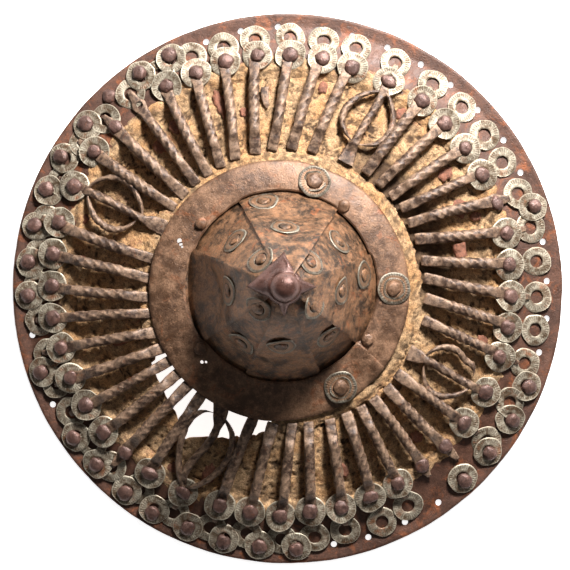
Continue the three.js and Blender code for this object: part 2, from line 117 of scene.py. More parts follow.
GORE_WASHERS = {
    "east": ((-4, 47), (8, 17)),
    "north_east": ((44, 70), (38, 29)),
    "north": ((88, 44), (102, 11)),
    "north_west": ((130, 70), (136, 36)),
    "west": ((184, 50),),
    "south_west": ((220, 72), (234, 33)),
    "south": ((268, 50),),
    "south_east": ((-32, 71), (-47, 37)),
}


def srgb(red, green, blue):
    """A colour in the renderer's linear values, from 0 to 255 steps as seen on a screen."""
    shares = [step / 255 for step in (red, green, blue)]
    return tuple(s / 12.92 if s <= 0.04045 else ((s + 0.055) / 1.055) ** 2.4 for s in shares)


def length(name, description, millimetres):
    """A length that a user may change, kept in metres."""
    return bpy.props.FloatProperty(
        name=name, description=description, default=millimetres * MM, min=0, unit="LENGTH"
    )


def colour(name, description, *steps):
    """A colour that a user may change."""
    return bpy.props.FloatVectorProperty(
        name=name, description=description, default=srgb(*steps), min=0, max=1, subtype="COLOR"
    )


class BucklerSizes(bpy.types.PropertyGroup):
    """The sizes that are worth changing on the buckler."""

    rim_radius: bpy.props.FloatProperty(
        name="Rim radius", description="From the centre to the rim's outer edge",
        default=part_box("rim")[1].x, min=0, unit="LENGTH",
    )
    rim_thickness: length("Rim thickness", "Thickness of the iron rim", 1.8)
    bar_width: length("Bar width", "Side of a bar's square section", 6.3)
    foot_width: length("Foot width", "Width of a bar's flat inner end", 7.4)
    eye_width: length("Eye width", "Width of a bar where its rivet goes through", 10)
    flat_thickness: length("Flat thickness", "Thickness of a bar's hammered ends", 2)
    twist: bpy.props.IntProperty(
        name="Twist", description="Quarter turns along each bar", default=5, min=0
    )
    knot_strand: length("Knot strand", "Thickness of a strand of a knot bar", 4.8)
    washer_radius: length("Washer radius", "Outer radius of the washers", 10.3)
    washer_hole: length("Washer hole", "Radius of the hole in a washer", 4.3)
    washer_thickness: length("Washer thickness", "Thickness of the washers", 1)
    rivet_radius: length("Rivet radius", "Radius of the rivet heads", 5)
    rivet_height: length("Rivet height", "Height of the rivet heads", 2.8)
    plate_thickness: length("Plate thickness", "Thickness of the centre plate", 1.8)
    gore_thickness: length("Gore thickness", "Thickness of the boss's iron sheets", 1.5)
    ball_radius: length("Ball radius", "Radius of the ball on the boss", 9.1)
    board_relief: length("Board relief", "Depth of the flakes and pits in the board", 1.6)


class BucklerColours(bpy.types.PropertyGroup):
    """The colours of the buckler's metals, board and leather."""

    rim: colour("Rim", "Dark patina of the rim", 100, 66, 50)
    rust: colour("Rust", "Orange rust in the iron", 164, 92, 50)
    bar: colour("Bars", "Patina of the bars", 144, 116, 94)
    bar_dark: colour("Bars, dark", "Deep patina of the bars", 66, 48, 38)
    plate: colour("Plate", "Patina of the centre plate", 144, 108, 82)
    plate_dark: colour("Plate, dark", "Deep patina of the centre plate", 86, 60, 42)
    boss: colour("Boss", "Patina of the boss", 150, 108, 76)
    boss_dark: colour("Boss, dark", "Deep patina of the boss", 58, 42, 28)
    cap: colour("Cap", "Patina of the cap and its ball", 104, 70, 60)
    washer: colour("Washers", "Pale patina of the washers", 182, 172, 152)
    washer_dark: colour("Washers, dark", "Dirt in the washers' tool marks", 98, 78, 58)
    rivet: colour("Rivets", "Patina of the rivet heads", 112, 82, 72)
    board: colour("Board", "Face of the decayed board", 208, 168, 124)
    # The dark board colour is the board's own dark tone and also its painted shade in the hollows,
    # sides and underside; the leather takes it for its dark patches.
    board_dark: colour("Board, dark", "Depths of the decayed board", 84, 58, 34)
    leather: colour("Leather", "Remnants of the red leather", 148, 94, 70)
    floor: colour("Floor", "The floor under the buckler", 250, 250, 250)


# ------------------------------------------------------------------ shape rules
def lerp(low, high, share):
    """The value at a share of the way from low to high."""
    return low + (high - low) * share


def smooth(low, high, value):
    """From 0 at low to 1 at high, level at both ends."""
    share = min(max((value - low) / (high - low), 0), 1)
    return share * share * (3 - 2 * share)


def wobble(index, kind):
    """A repeatable number from -1 to 1 for a copy of a repeated piece."""
    wave = math.sin(index * 12.9898 + kind * 78.233) * 43758.5453
    return 2 * (wave - math.floor(wave)) - 1


def polar(radius, angle, height=0):
    """A point at a distance and an angle, in radians, about the shield's axis."""
    return Vector((radius * math.cos(angle), radius * math.sin(angle), height))


def dome(radius):
    """Height of the shield's face at a distance from the centre."""
    edge = math.sqrt(DOME_SPHERE_RADIUS**2 - RIM_FLAT_RADIUS**2)
    return math.sqrt(DOME_SPHERE_RADIUS**2 - min(radius, RIM_FLAT_RADIUS) ** 2) - edge


def rim_top(radius):
    """Height of the rim's upper face, whose slope goes on inwards under the bars."""
    flat = RIM_FLAT_RADIUS - 1
    share = max((flat - radius) / (flat - RIM_INNER_RADIUS), 0)
    return 1.8 + share * dome(RIM_INNER_RADIUS)


def relief(point, size, seed=0):
    """Noise from about -1 to 1 at a point, with features of a size."""
    return noise.noise(point / size + Vector((seed * 7.3, seed * 3.1, seed * 5.7)))


def roughen(point, size, amount, seed=0):
    """A point pushed about by noise."""
    shift = noise.noise_vector(point / size + Vector((seed * 4.1, seed * 9.3, seed * 1.7)))
    return point + shift * amount


# ------------------------------------------------------------------ mesh tools
def reshape(verts, rule):
    """Moves every vertex to where the rule puts it."""
    for vert in verts:
        vert.co = rule(vert.co)


def newest(bm, count):
    """The vertices made since there were count of them."""
    bm.verts.ensure_lookup_table()
    return bm.verts[count:]


def faces_of(verts):
    """The faces that meet at some vertices, always in the same order."""
    return list(dict.fromkeys(face for vert in verts for face in vert.link_faces))


def densify(corners, step):
    """A closed outline with more points, no further apart than a step."""
    points = []
    for (r0, z0), (r1, z1) in zip(corners, corners[1:] + corners[:1]):
        parts = max(math.ceil(math.hypot(r1 - r0, z1 - z0) / step), 1)
        for part in range(parts):
            points.append((lerp(r0, r1, part / parts), lerp(z0, z1, part / parts)))
    return points


def turned(bm, outline, steps):
    """Spins a closed outline of (radius, height) pairs right round the Z axis."""
    count = len(bm.verts)
    verts = [bm.verts.new((radius, 0, height)) for radius, height in outline]
    edges = [bm.edges.new(pair) for pair in zip(verts, verts[1:] + verts[:1])]
    bmesh.ops.spin(
        bm, geom=verts + edges, axis=(0, 0, 1), cent=(0, 0, 0), angle=math.tau, steps=steps,
        use_merge=True,
    )
    made = newest(bm, count)
    bmesh.ops.recalc_face_normals(bm, faces=faces_of(made))
    return made


def rod(bm, sides, cuts):
    """A closed rod of radius 1 on the Z axis, from 0 to 1, cut across."""
    count = len(bm.verts)
    bmesh.ops.create_cone(
        bm, cap_ends=True, segments=sides, radius1=1, radius2=1, depth=1,
        matrix=Matrix.Translation((0, 0, 0.5)),
    )
    made = newest(bm, count)
    edges = dict.fromkeys(e for v in made for e in v.link_edges)
    along = [e for e in edges if abs(e.verts[0].co.z - e.verts[1].co.z) > 0.5]
    bmesh.ops.subdivide_edges(bm, edges=along, cuts=cuts)
    return newest(bm, count)


def absorb(bm, other):
    """Adds a whole bmesh to another and ends it."""
    mesh = bpy.data.meshes.new("absorbed")
    other.to_mesh(mesh)
    other.free()
    bm.from_mesh(mesh)
    bpy.data.meshes.remove(mesh)


def shell(bm, columns, rows, rule, thickness):
    """A sheet laid out by a rule from two shares, with its thickness under it."""
    count = len(bm.verts)
    bmesh.ops.create_grid(bm, x_segments=columns, y_segments=rows, size=0.5)
    made = newest(bm, count)
    reshape(made, lambda co: rule(co.x + 0.5, co.y + 0.5))
    faces = faces_of(made)
    for face in faces:
        face.normal_update()
    bmesh.ops.solidify(bm, geom=faces, thickness=thickness)
    return newest(bm, count)


def squared(angle, width, height, sharpness=3.4):
    """A point on a rectangle with rounded corners, seen from its centre at an angle."""
    power = 2 / sharpness
    cosine, sine = math.cos(angle), math.sin(angle)
    return (
        math.copysign(abs(cosine) ** power, cosine) * width / 2,
        math.copysign(abs(sine) ** power, sine) * height / 2,
    )


def between(rows, share):
    """The values at a share, blended smoothly from rows of (share, value, ...)."""
    for low, high in zip(rows, rows[1:]):
        if share <= high[0]:
            part = smooth(low[0], high[0], share)
            return [lerp(a, b, part) for a, b in zip(low[1:], high[1:])]
    return list(rows[-1][1:])


def add_piece(name, bm, material, slot, *nodes, sharp=50):
    """Makes a bmesh in millimetres a piece of the scene that stands for CAD nodes."""
    bmesh.ops.scale(bm, vec=(MM, MM, MM), verts=bm.verts)
    mesh = bpy.data.meshes.new(name)
    bm.to_mesh(mesh)
    bm.free()
    mesh.shade_smooth()
    mesh.set_sharp_from_angle(angle=math.radians(sharp))
    obj = bpy.data.objects.new(name, mesh)
    bpy.context.scene.collection.objects.link(obj)
    mesh.materials.append(material)
    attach(obj, "root")
    if nodes:
        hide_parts(*nodes)
    return obj


def cut_away(obj, cutter):
    """Takes a bmesh, in millimetres, out of a piece."""
    bmesh.ops.scale(cutter, vec=(MM, MM, MM), verts=cutter.verts)
    mesh = bpy.data.meshes.new("cutter")
    cutter.to_mesh(mesh)
    cutter.free()
    tool = bpy.data.objects.new("cutter", mesh)
    bpy.context.scene.collection.objects.link(tool)
    modifier = obj.modifiers.new("cut", "BOOLEAN")
    modifier.operation = "DIFFERENCE"
    modifier.solver = "MANIFOLD"
    modifier.object = tool
    bpy.context.view_layer.update()
    depsgraph = bpy.context.evaluated_depsgraph_get()
    cut = bpy.data.meshes.new_from_object(obj.evaluated_get(depsgraph))
    obj.modifiers.clear()
    obj.data = cut
    cut.name = obj.name
    bpy.data.objects.remove(tool)


# ------------------------------------------------------------------ materials
class Shader:
    """A node material, built a few nodes at a time."""

    def __init__(self, name, roughness, metallic):
        self.material = bpy.data.materials.new(name)
        self.material.use_nodes = True
        self.tree = self.material.node_tree
        self.surface = self.tree.nodes["Principled BSDF"]
        self.surface.inputs["Metallic"].default_value = metallic
        self.surface.inputs["Roughness"].default_value = roughness
        self.place = self.tree.nodes.new("ShaderNodeTexCoord").outputs["Object"]
        self.normal = None

    def node(self, kind, inputs=None, **settings):
        """A node with its settings, and its inputs linked or set."""
        made = self.tree.nodes.new(kind)
        for key, value in settings.items():
            setattr(made, key, value)
        for key, value in (inputs or {}).items():
            if isinstance(value, bpy.types.NodeSocket):
                self.tree.links.new(value, made.inputs[key])
            else:
                made.inputs[key].default_value = value
        return made

    def noise(self, size, detail=5, roughness=0.6, distortion=0.0, vector=None):
        """Noise with features of a size in millimetres."""
        return self.node(
            "ShaderNodeTexNoise",
            {"Vector": vector or self.place, "Scale": 1 / (size * MM), "Detail": detail,
             "Roughness": roughness, "Distortion": distortion},
        ).outputs["Fac"]

    def cells(self, size):
        """Cells of a size in millimetres."""
        return self.node(
            "ShaderNodeTexVoronoi", {"Vector": self.place, "Scale": 1 / (size * MM)},
        ).outputs["Distance"]

    def fade(self, value, low, high, start=0.0, end=1.0):
        """Maps a value from one range to another, held at both ends."""
        return self.node(
            "ShaderNodeMapRange",
            {"Value": value, "From Min": low, "From Max": high, "To Min": start, "To Max": end},
        ).outputs["Result"]

    def sum(self, kind, first, second=0.5):
        """One step of arithmetic."""
        return self.node("ShaderNodeMath", {0: first, 1: second}, operation=kind).outputs[0]

    def mix(self, share, first, second, kind="MIX"):
        """Two colours mixed by a share."""
        made = self.tree.nodes.new("ShaderNodeMix")
        made.data_type = "RGBA"
        made.blend_type = kind
        # 0 is the factor, 6 and 7 the two colours of the node
        for index, value in ((0, share), (6, first), (7, second)):
            socket = made.inputs[index]
            if isinstance(value, bpy.types.NodeSocket):
                self.tree.links.new(value, socket)
            elif isinstance(value, (int, float)):
                socket.default_value = value
            else:
                socket.default_value = (*value, 1)
        return made.outputs[2]

    def attribute(self, name, output="Fac"):
        """A value that the mesh carries."""
        return self.node("ShaderNodeAttribute", attribute_name=name).outputs[output]

    def bump(self, height, distance, strength=1.0):
        """Raises the surface by a height, up to a distance in millimetres."""
        inputs = {"Height": height, "Distance": distance * MM, "Strength": strength}
        if self.normal:
            inputs["Normal"] = self.normal
        self.normal = self.node("ShaderNodeBump", inputs).outputs["Normal"]

    def finish(self, colour, roughness=None):
        """Links what was built to the surface."""
        self.tree.links.new(colour, self.surface.inputs["Base Color"])
        if roughness:
            self.tree.links.new(roughness, self.surface.inputs["Roughness"])
        if self.normal:
            self.tree.links.new(self.normal, self.surface.inputs["Normal"])
        return self.material


def shade(colour, factor):
    """A lighter or darker version of a colour."""
    return tuple(min(channel * factor, 1) for channel in colour)


def patinated_iron(name, light, dark, rust, roughness=0.55, metallic=0.3, rust_share=0.5,
                   wear=False, scale=1.0):
    """Old iron: blotches of light and dark patina, rust patches, fine pits and scale."""
    made = Shader(name, roughness, metallic)
    broad = made.noise(22 * scale, 4, 0.55, 0.4)
    medium = made.noise(6 * scale, 6, 0.65, 0.3)
    fine = made.noise(1.1, 5, 0.7)
    colour = made.mix(made.fade(made.sum("ADD", broad, medium), 0.86, 1.16), dark, light)
    patches = made.fade(made.noise(13 * scale, 6, 0.7, 0.8), rust_share, rust_share + 0.16)
    colour = made.mix(made.sum("MULTIPLY", patches, 0.75), colour, rust)
    colour = made.mix(made.fade(fine, 0.35, 0.62, 0.55, 0.0), colour, shade(dark, 0.45))
    pale = made.fade(made.noise(2.6, 6, 0.7), 0.56, 0.74, 0.0, 0.6)
    colour = made.mix(pale, colour, shade(light, 1.55))
    if wear:
        edge = made.sum("MULTIPLY", made.attribute("wear"), made.fade(medium, 0.4, 0.65))
        colour = made.mix(made.sum("MULTIPLY", edge, 0.6), colour, shade(light, 1.6))
    pits = made.fade(made.cells(1.7), 0.0, 0.35)
    made.bump(made.noise(7 * scale, 5, 0.6), 0.9, 0.35)
    made.bump(fine, 0.35, 0.7)
    made.bump(pits, 0.25, 0.5)
    return made.finish(colour, made.fade(medium, 0.35, 0.7, roughness - 0.12, roughness + 0.15))


def washer_metal(name, light, dark, rust, boss=False):
    """Pale sheet metal with radial tool marks, ring punches and dirt in them, and a painted
    highlight along the outer edge.
    """
    made = Shader(name, 0.5, 0.45)
    spot = made.attribute("washer_place", "Vector")
    parts = made.node("ShaderNodeSeparateXYZ", {0: spot}).outputs
    around = made.sum("ARCTAN2", parts["Y"], parts["X"])
    reach = made.node("ShaderNodeVectorMath", {0: spot}, operation="LENGTH").outputs["Value"]
    blotch = made.noise(5, 5, 0.65, 0.5)
    fine = made.noise(1.0, 5, 0.7)
    wander = made.sum("MULTIPLY", blotch, 1.2)
    turns = made.sum("MULTIPLY", made.sum("ADD", around, made.sum("MULTIPLY", wander, 0.06)), 34)
    hatch = made.fade(made.sum("SINE", turns, 0), -0.9, -0.2)
    band = made.sum("MULTIPLY", made.fade(reach, 0.6, 0.7), made.fade(reach, 0.97, 0.88))
    marks = made.sum("MULTIPLY", made.sum("SUBTRACT", 1.0, hatch), band)
    colour = made.mix(made.fade(blotch, 0.4, 0.64), dark, light)
    colour = made.mix(made.sum("MULTIPLY", marks, 0.55), colour, shade(dark, 0.6))
    colour = made.mix(made.fade(made.noise(9, 5, 0.7), 0.56, 0.7, 0, 0.65), colour, rust)
    colour = made.mix(made.fade(fine, 0.38, 0.6, 0.5, 0), colour, shade(dark, 0.5))
    crust = made.fade(made.noise(2.2, 5, 0.7), 0.58, 0.7, 0, 0.6)
    colour = made.mix(crust, colour, shade(light, 1.5))
    # painted highlight: the bevelled outer edge of each washer is lightened all round
    painted_edge_highlight = made.fade(reach, 0.9, 0.985)
    colour = made.mix(made.sum("MULTIPLY", painted_edge_highlight, 0.5), colour, shade(light, 1.35))
    if boss:
        inner = made.sum("MULTIPLY", made.fade(reach, 0.84, 0.78), made.fade(reach, 0.5, 0.56))
        colour = made.mix(made.sum("MULTIPLY", inner, 0.7), colour, rust)
    made.bump(made.sum("SUBTRACT", 1.0, marks), 0.25, 0.6)
    made.bump(blotch, 0.5, 0.4)
    made.bump(fine, 0.2, 0.6)
    return made.finish(colour, made.fade(blotch, 0.3, 0.7, 0.38, 0.62))


def decayed_board(name, light, dark, leather):
    """Crumbling layered board: pale worn faces, painted shade in the crumbled depths, ochre and
    red stains.
    """
    made = Shader(name, 0.9, 0.0)
    # depth is how far the face has crumbled; it is the mask of the painted shade
    depth = made.attribute("depth")
    broad = made.noise(16, 5, 0.6, 0.6)
    medium = made.noise(4, 6, 0.7, 0.4)
    fine = made.noise(0.9, 6, 0.75)
    colour = made.mix(made.fade(medium, 0.38, 0.6), shade(light, 0.42), light)
    ochre = (lerp(light[0], leather[0], 0.25), light[1] * 0.68, light[2] * 0.46)
    colour = made.mix(made.fade(broad, 0.45, 0.6, 0, 0.55), colour, ochre)
    stain = made.fade(made.noise(8, 5, 0.7, 0.9), 0.57, 0.68, 0, 0.6)
    colour = made.mix(stain, colour, leather)
    colour = made.mix(made.fade(fine, 0.36, 0.56, 0.75, 0), colour, shade(dark, 0.6))
    # painted shade: the crumbled hollows, and the board's sides and underside, are darkened
    # towards the dark colour
    colour = made.mix(depth, colour, shade(dark, 0.55))
    made.bump(medium, 1.6, 0.6)
    made.bump(fine, 0.6, 0.8)
    made.bump(made.cells(2.2), 0.5, 0.5)
    return made.finish(colour)


def red_leather(name, light, dark):
    """Dry red leather, cracked and faded."""
    made = Shader(name, 0.8, 0.0)
    medium = made.noise(3, 6, 0.7, 0.5)
    fine = made.noise(0.8, 5, 0.7)
    colour = made.mix(made.fade(medium, 0.35, 0.62), shade(light, 0.45), light)
    colour = made.mix(made.fade(made.noise(6, 5, 0.6), 0.54, 0.66, 0, 0.5), colour, dark)
    colour = made.mix(made.fade(fine, 0.36, 0.56, 0.6, 0), colour, shade(light, 0.25))
    made.bump(medium, 0.8, 0.6)
    made.bump(made.cells(1.4), 0.35, 0.6)
    return made.finish(colour)


def pale_floor(name, light):
    """A plain floor that glows evenly, as on a light table."""
    made = Shader(name, 0.9, 0.0)
    made.surface.inputs["Emission Color"].default_value = (*light, 1)
    made.surface.inputs["Emission Strength"].default_value = 0.9
    made.surface.inputs["Base Color"].default_value = (*light, 1)
    return made.material


_finishes = {}  # materials by their short names


def finish(name):
    """A finish by its name, made once and shared."""
    if name not in _finishes:
        c = bpy.context.scene.buckler_colours
        look = {key: tuple(getattr(c, key)) for key in BucklerColours.__annotations__}
        rust, washer, boss = look["rust"], look["washer"], look["boss"]
        makers = {
            "rim": lambda: patinated_iron(
                "rim_patina", look["rim"], shade(look["rim"], 0.55), rust, roughness=0.55,
                metallic=0.25, rust_share=0.53),
            "bar": lambda: patinated_iron(
                "bar_patina", look["bar"], look["bar_dark"], shade(rust, 0.9), roughness=0.5,
                metallic=0.25, rust_share=0.6, wear=True, scale=0.5),
            "plate": lambda: patinated_iron(
                "plate_patina", look["plate"], look["plate_dark"], shade(rust, 0.85),
                roughness=0.5, metallic=0.25, rust_share=0.56),
            "boss": lambda: patinated_iron(
                "boss_patina", boss, look["boss_dark"], rust, roughness=0.48, metallic=0.3,
                rust_share=0.56, scale=0.7),
            "cap": lambda: patinated_iron(
                "cap_patina", look["cap"], shade(look["cap"], 0.6), rust, roughness=0.32,
                metallic=0.45, rust_share=0.66),
            "rivet": lambda: patinated_iron(
                "rivet_patina", look["rivet"], shade(look["rivet"], 0.55), rust,
                roughness=0.45, metallic=0.35, rust_share=0.6, scale=0.4),
            "grip": lambda: patinated_iron(
                "grip_patina", look["bar_dark"], shade(look["bar_dark"], 0.6), rust,
                roughness=0.6, metallic=0.25, rust_share=0.55),
            "washer": lambda: washer_metal(
                "washer_metal", washer, look["washer_dark"], shade(rust, 0.8)),
            "boss_washer": lambda: washer_metal(
                "boss_washer_metal", shade(washer, 0.5), shade(look["boss_dark"], 1.2),
                shade(boss, 0.7), boss=True),
            "board": lambda: decayed_board(
                "decayed_board", look["board"], look["board_dark"], look["leather"]),
            "leather": lambda: red_leather("red_leather", look["leather"], look["board_dark"]),
            "floor": lambda: pale_floor("pale_floor", look["floor"]),
        }
        _finishes[name] = makers[name]()
    return _finishes[name]


def sizes_in_mm():
    """The user's lengths in millimetres, and the rest as they are."""
    sizes = bpy.context.scene.buckler_sizes
    values = {}
    for key in BucklerSizes.__annotations__:
        value = getattr(sizes, key)
        values[key] = value if isinstance(value, int) else value / MM
    return values


# ------------------------------------------------------------------ places of the rows
def outer_row_place(k):
    """Place of a rivet or its empty hole in the row along the rim's edge."""
    angle = math.radians(OUTER_ROW_START + k * 360 / SLOTS + 0.5 * wobble(k, 1))
    return polar(OUTER_ROW_RADIUS + wobble(k, 2), angle)


def knot_angle(quarter):
    """Angle of a quarter's knot bar, in degrees."""
    return KNOT_ANGLE + 90 * quarter + 1.1 * math.cos(math.radians(90 * quarter - 60))


def slot_angle(slot):
    """Angle of a bar's rivet. The bars between two knots share the room evenly."""
    quarter, steps = slot // SLOTS_PER_QUARTER, slot % SLOTS_PER_QUARTER - KNOT_SLOT
    knot = knot_angle(quarter)
    if steps == 0:
        return math.radians(knot)
    side = int(math.copysign(1, steps))
    span = abs(knot_angle(quarter + side) - knot)
    pitch = (span - 2 * KNOT_NEIGHBOUR_PITCH) / (SLOTS_PER_QUARTER - 2)
    away = KNOT_NEIGHBOUR_PITCH + (abs(steps) - 1) * pitch
    return math.radians(knot + side * away + 0.15 * wobble(slot, 3))


def rivet_place(slot):
    """Place of a bar's rivet."""
    angle = slot_angle(slot)
    return polar(RIVET_ROW_RADIUS + wobble(slot, 4) + ROW_CENTRE.dot(polar(1, angle)), angle)


def foot_place(slot):
    """Place of a bar's inner end."""
    angle = slot_angle(slot)
    lean = LEAN[slot % SLOTS_PER_QUARTER] + 0.2 + 1.95 * math.cos(angle - math.radians(58))
    tucked = TUCKED_FEET * smooth(math.pi * 0.85, math.pi * 1.05, angle)
    tucked *= smooth(math.pi * 1.62, math.pi * 1.5, angle)
    reach = BAR_INNER_RADIUS + 0.8 * wobble(slot, 5) - tucked
    return polar(reach, angle + math.radians(lean))


def tip_length(slot):
    """How far a bar goes on past its rivet."""
    return 11 + 2.5 * wobble(slot, 8)


# ------------------------------------------------------------------ small parts
_washer_blanks = {}  # meshes of flat washers, by their sizes


def add_washer(bm, radius, hole, thickness, matrix, seed, steps=40):
    """A washer cut from sheet, a little oval and bent, laid by a matrix."""
    place = bm.verts.layers.float_vector.get("washer_place")
    if place is None:
        place = bm.verts.layers.float_vector.new("washer_place")
    size = (radius, hole, thickness, steps)
    if size not in _washer_blanks:
        outline = densify(
            [(hole, 0), (radius - 0.3, 0), (radius, thickness * 0.4), (radius - 0.35, thickness),
             (hole + 0.3, thickness), (hole, thickness * 0.7)],
            1.2,
        )
        blank = bmesh.new()
        turned(blank, outline, steps)
        _washer_blanks[size] = bpy.data.meshes.new("washer_blank")
        blank.to_mesh(_washer_blanks[size])
        blank.free()
    count = len(bm.verts)
    bm.from_mesh(_washer_blanks[size])
    made = newest(bm, count)
    bend, turn = 0.6 + 0.5 * wobble(seed, 11), math.pi * wobble(seed, 12)
    oval = 1 - 0.06 * abs(wobble(seed, 13))
    for vert in made:
        flat = vert.co.xy.to_3d()
        vert[place] = flat / radius
        share, angle = flat.length / radius, math.atan2(flat.y, flat.x)
        edge = 0.7 * noise.noise(Vector((math.cos(angle), math.sin(angle), seed * 1.7)) * 1.6)
        vert.co.z += bend * share**2 * math.cos(2 * (angle - turn)) + 0.15 * edge
        vert.co.xy = flat.xy * (1 + edge / radius * (1 if share > 0.7 else 0.4))
        vert.co.x *= oval
    bmesh.ops.transform(bm, matrix=matrix @ Matrix.Rotation(turn, 4, "Z"), verts=made)


def add_rivet(bm, radius, height, matrix, seed, squared_off=False):
    """A hammered rivet head with a few flats, laid by a matrix."""
    count = len(bm.verts)
    bmesh.ops.create_icosphere(bm, subdivisions=3, radius=1)
    made = newest(bm, count)

    def hammered(co):
        face = 0.16 * noise.noise(co * 1.3 + Vector((seed * 3.7, seed, 0)))
        blows = 1 - 0.25 * max(noise.noise(co * 2.2 + Vector((0, seed * 2.3, 0))), 0) + face
        up = co.z**0.6 if co.z > 0 else max(co.z, -0.15)
        long, wide = (1.12, 0.82) if squared_off else (1, 1)
        return Vector((co.x * wide * blows, co.y * long * blows, 0)) * radius + Vector(
            (0, 0, up * height * blows))

    reshape(made, hammered)
    turn = 0.2 if squared_off else math.pi
    spin = Matrix.Rotation(turn * wobble(seed, 14), 4, "Z")
    bmesh.ops.transform(bm, matrix=matrix @ spin, verts=made)


def laid(place, height, tilt, sideways=0.0):
    """A matrix that lays a small part on the shield, its top leaning outwards."""
    angle = math.atan2(place.y, place.x)
    return (
        Matrix.Translation((place.x, place.y, height))
        @ Matrix.Rotation(angle, 4, "Z")
        @ Matrix.Rotation(math.radians(tilt), 4, "Y")
        @ Matrix.Rotation(math.radians(sideways), 4, "X")
    )


# ------------------------------------------------------------------ bars
def bar_rest(radius, lift):
    """Height of a bar's underside over the board or over the rim."""
    over_board = dome(radius) + lerp(GAP, BAR_LIFT, lift)
    return lerp(over_board, rim_top(radius) + GAP, smooth(126, 137, radius))


def add_strand(bm, foot, tip, rows, twist, sideways, seed, sides=16, cuts=60, tip_lift=0.0):
    """A forged bar from foot to tip. Its rows give shares, widths, heights and lifts, and
    twist gives where its section turns, and by how many quarters."""
    wear = bm.verts.layers.float.get("wear") or bm.verts.layers.float.new("wear")
    made = rod(bm, sides, cuts)
    along = (tip - foot).normalized()
    across = Vector((-along.y, along.x, 0))
    start, end, quarters = twist
    for vert in made:
        share, angle = vert.co.z, math.atan2(vert.co.y, vert.co.x)
        width, height, lift = between(rows, share)
        turn = min(max((share - start) / (end - start), 0), 1) * quarters * math.pi / 2
        # in the twist the section turns; past it, it lies flat and its points have moved on
        twisted = start < share < end
        tilt = turn if twisted else 0
        around = angle if twisted else angle + turn
        x, y = squared(around, width, height)
        vert[wear] = abs(math.sin(2 * around)) ** 3
        side = x * math.cos(tilt) - y * math.sin(tilt)
        up = x * math.sin(tilt) + y * math.cos(tilt)
        centre = foot.lerp(tip, share)
        side += sideways(share)
        point = centre + across * side
        rest = bar_rest(centre.length, lift) + tip_lift * smooth(0.9, 0.97, share)
        point.z = rest + height / 2 + up
        point = roughen(point, 9, 0.35, seed)
        vert.co = roughen(point, 2.2, 0.22, seed)
    return made


def bar_rows(sizes, eye, seed):
    """Shares along a bar with its width, height and lift there."""
    width = sizes["bar_width"] * (1 + 0.06 * wobble(seed, 21))
    flat = sizes["flat_thickness"]
    foot = sizes["foot_width"] * (1 + 0.08 * wobble(seed, 22))
    return [
        (0, foot * 0.9, flat * 0.7, 0), (0.03, foot, flat * 1.1, 0.1),
        (0.13, foot * 0.98, flat * 1.9, 0.5), (0.24, width, width, 1),
        (eye - 0.18, width, width, 1), (eye - 0.09, width * 1.15, flat * 1.6, 0.3),
        (eye, sizes["eye_width"], flat, 0), (eye + 0.07, width * 0.95, flat, 0),
        (1, width * 0.5, flat * 0.7, 0),
    ]


def plain_bar(sizes, slot):
    """One twisted bar as a bmesh."""
    bm = bmesh.new()
    rivet, foot = rivet_place(slot), foot_place(slot)
    tip = rivet.normalized() * (rivet.length + tip_length(slot))
    eye = 1 - tip_length(slot) / (tip - foot).length
    bow = 1.2 * wobble(slot, 7)
    quarters = sizes["twist"] + round(1.2 * wobble(slot, 23))
    add_strand(
        bm, foot, tip, bar_rows(sizes, eye, slot), (0.24, eye - 0.18, quarters),
        lambda share: bow * math.sin(math.pi * share), slot, tip_lift=1.1,
    )
    return bm


def knot_bar(sizes, slot):
    """One openwork knot bar as a bmesh: a straight strand between two loops."""
    bm = bmesh.new()
    rivet, foot = rivet_place(slot), foot_place(slot)
    tip = rivet.normalized() * (rivet.length + tip_length(slot))
    eye = 1 - tip_length(slot) / (tip - foot).length
    strand = sizes["knot_strand"]
    flat = sizes["flat_thickness"]
    straight = [
        (0, 11, flat, 0), (0.1, 9.5, flat * 1.2, 0), (0.2, strand * 1.1, strand, 0.6),
        (eye - 0.15, strand * 1.1, strand, 0.8), (eye - 0.06, 7, flat * 1.3, 0.1),
        (eye, sizes["eye_width"], flat, 0), (eye + 0.07, 6, flat, 0), (1, 3.5, flat * 0.7, 0),
    ]
    wave = 3.5 if slot == BENT_KNOT_SLOT else 0.6
    add_strand(
        bm, foot, tip, straight, (0.2, eye - 0.15, 5),
        lambda share: wave * math.sin(7 * share) * smooth(1, 0.7, share), slot, tip_lift=1.1,
    )
    for side, loop in enumerate(KNOT_LOOPS[slot // SLOTS_PER_QUARTER]):
        start, end, middle, bulge, short = loop
        near, far = (
            foot.lerp(tip, (reach - foot.length) / (tip.length - foot.length))
            for reach in (start, end)
        )
        skew = math.log(0.5) / math.log((middle - start) / (end - start))
        rows = [(0, strand * 0.8, strand * 0.75, 0.2), (0.12, strand * 0.85, strand * 0.9, 0.7),
                (0.5, strand * 0.9, strand * 0.95, 1), (0.88, strand * 0.85, strand * 0.9, 0.8),
                (1, strand * 0.7, strand * 0.75, 0.4)]

        def sideways(share):
            wave = max(math.sin(math.pi * min(share, 1) ** skew), 0) ** 0.62
            return bulge * wave + short * smooth(0.7, 1, share)

        add_strand(bm, near, far, rows, (0.03, 0.97, 7), sideways, slot + side + 1, sides=12,
                   cuts=80)
    return bm


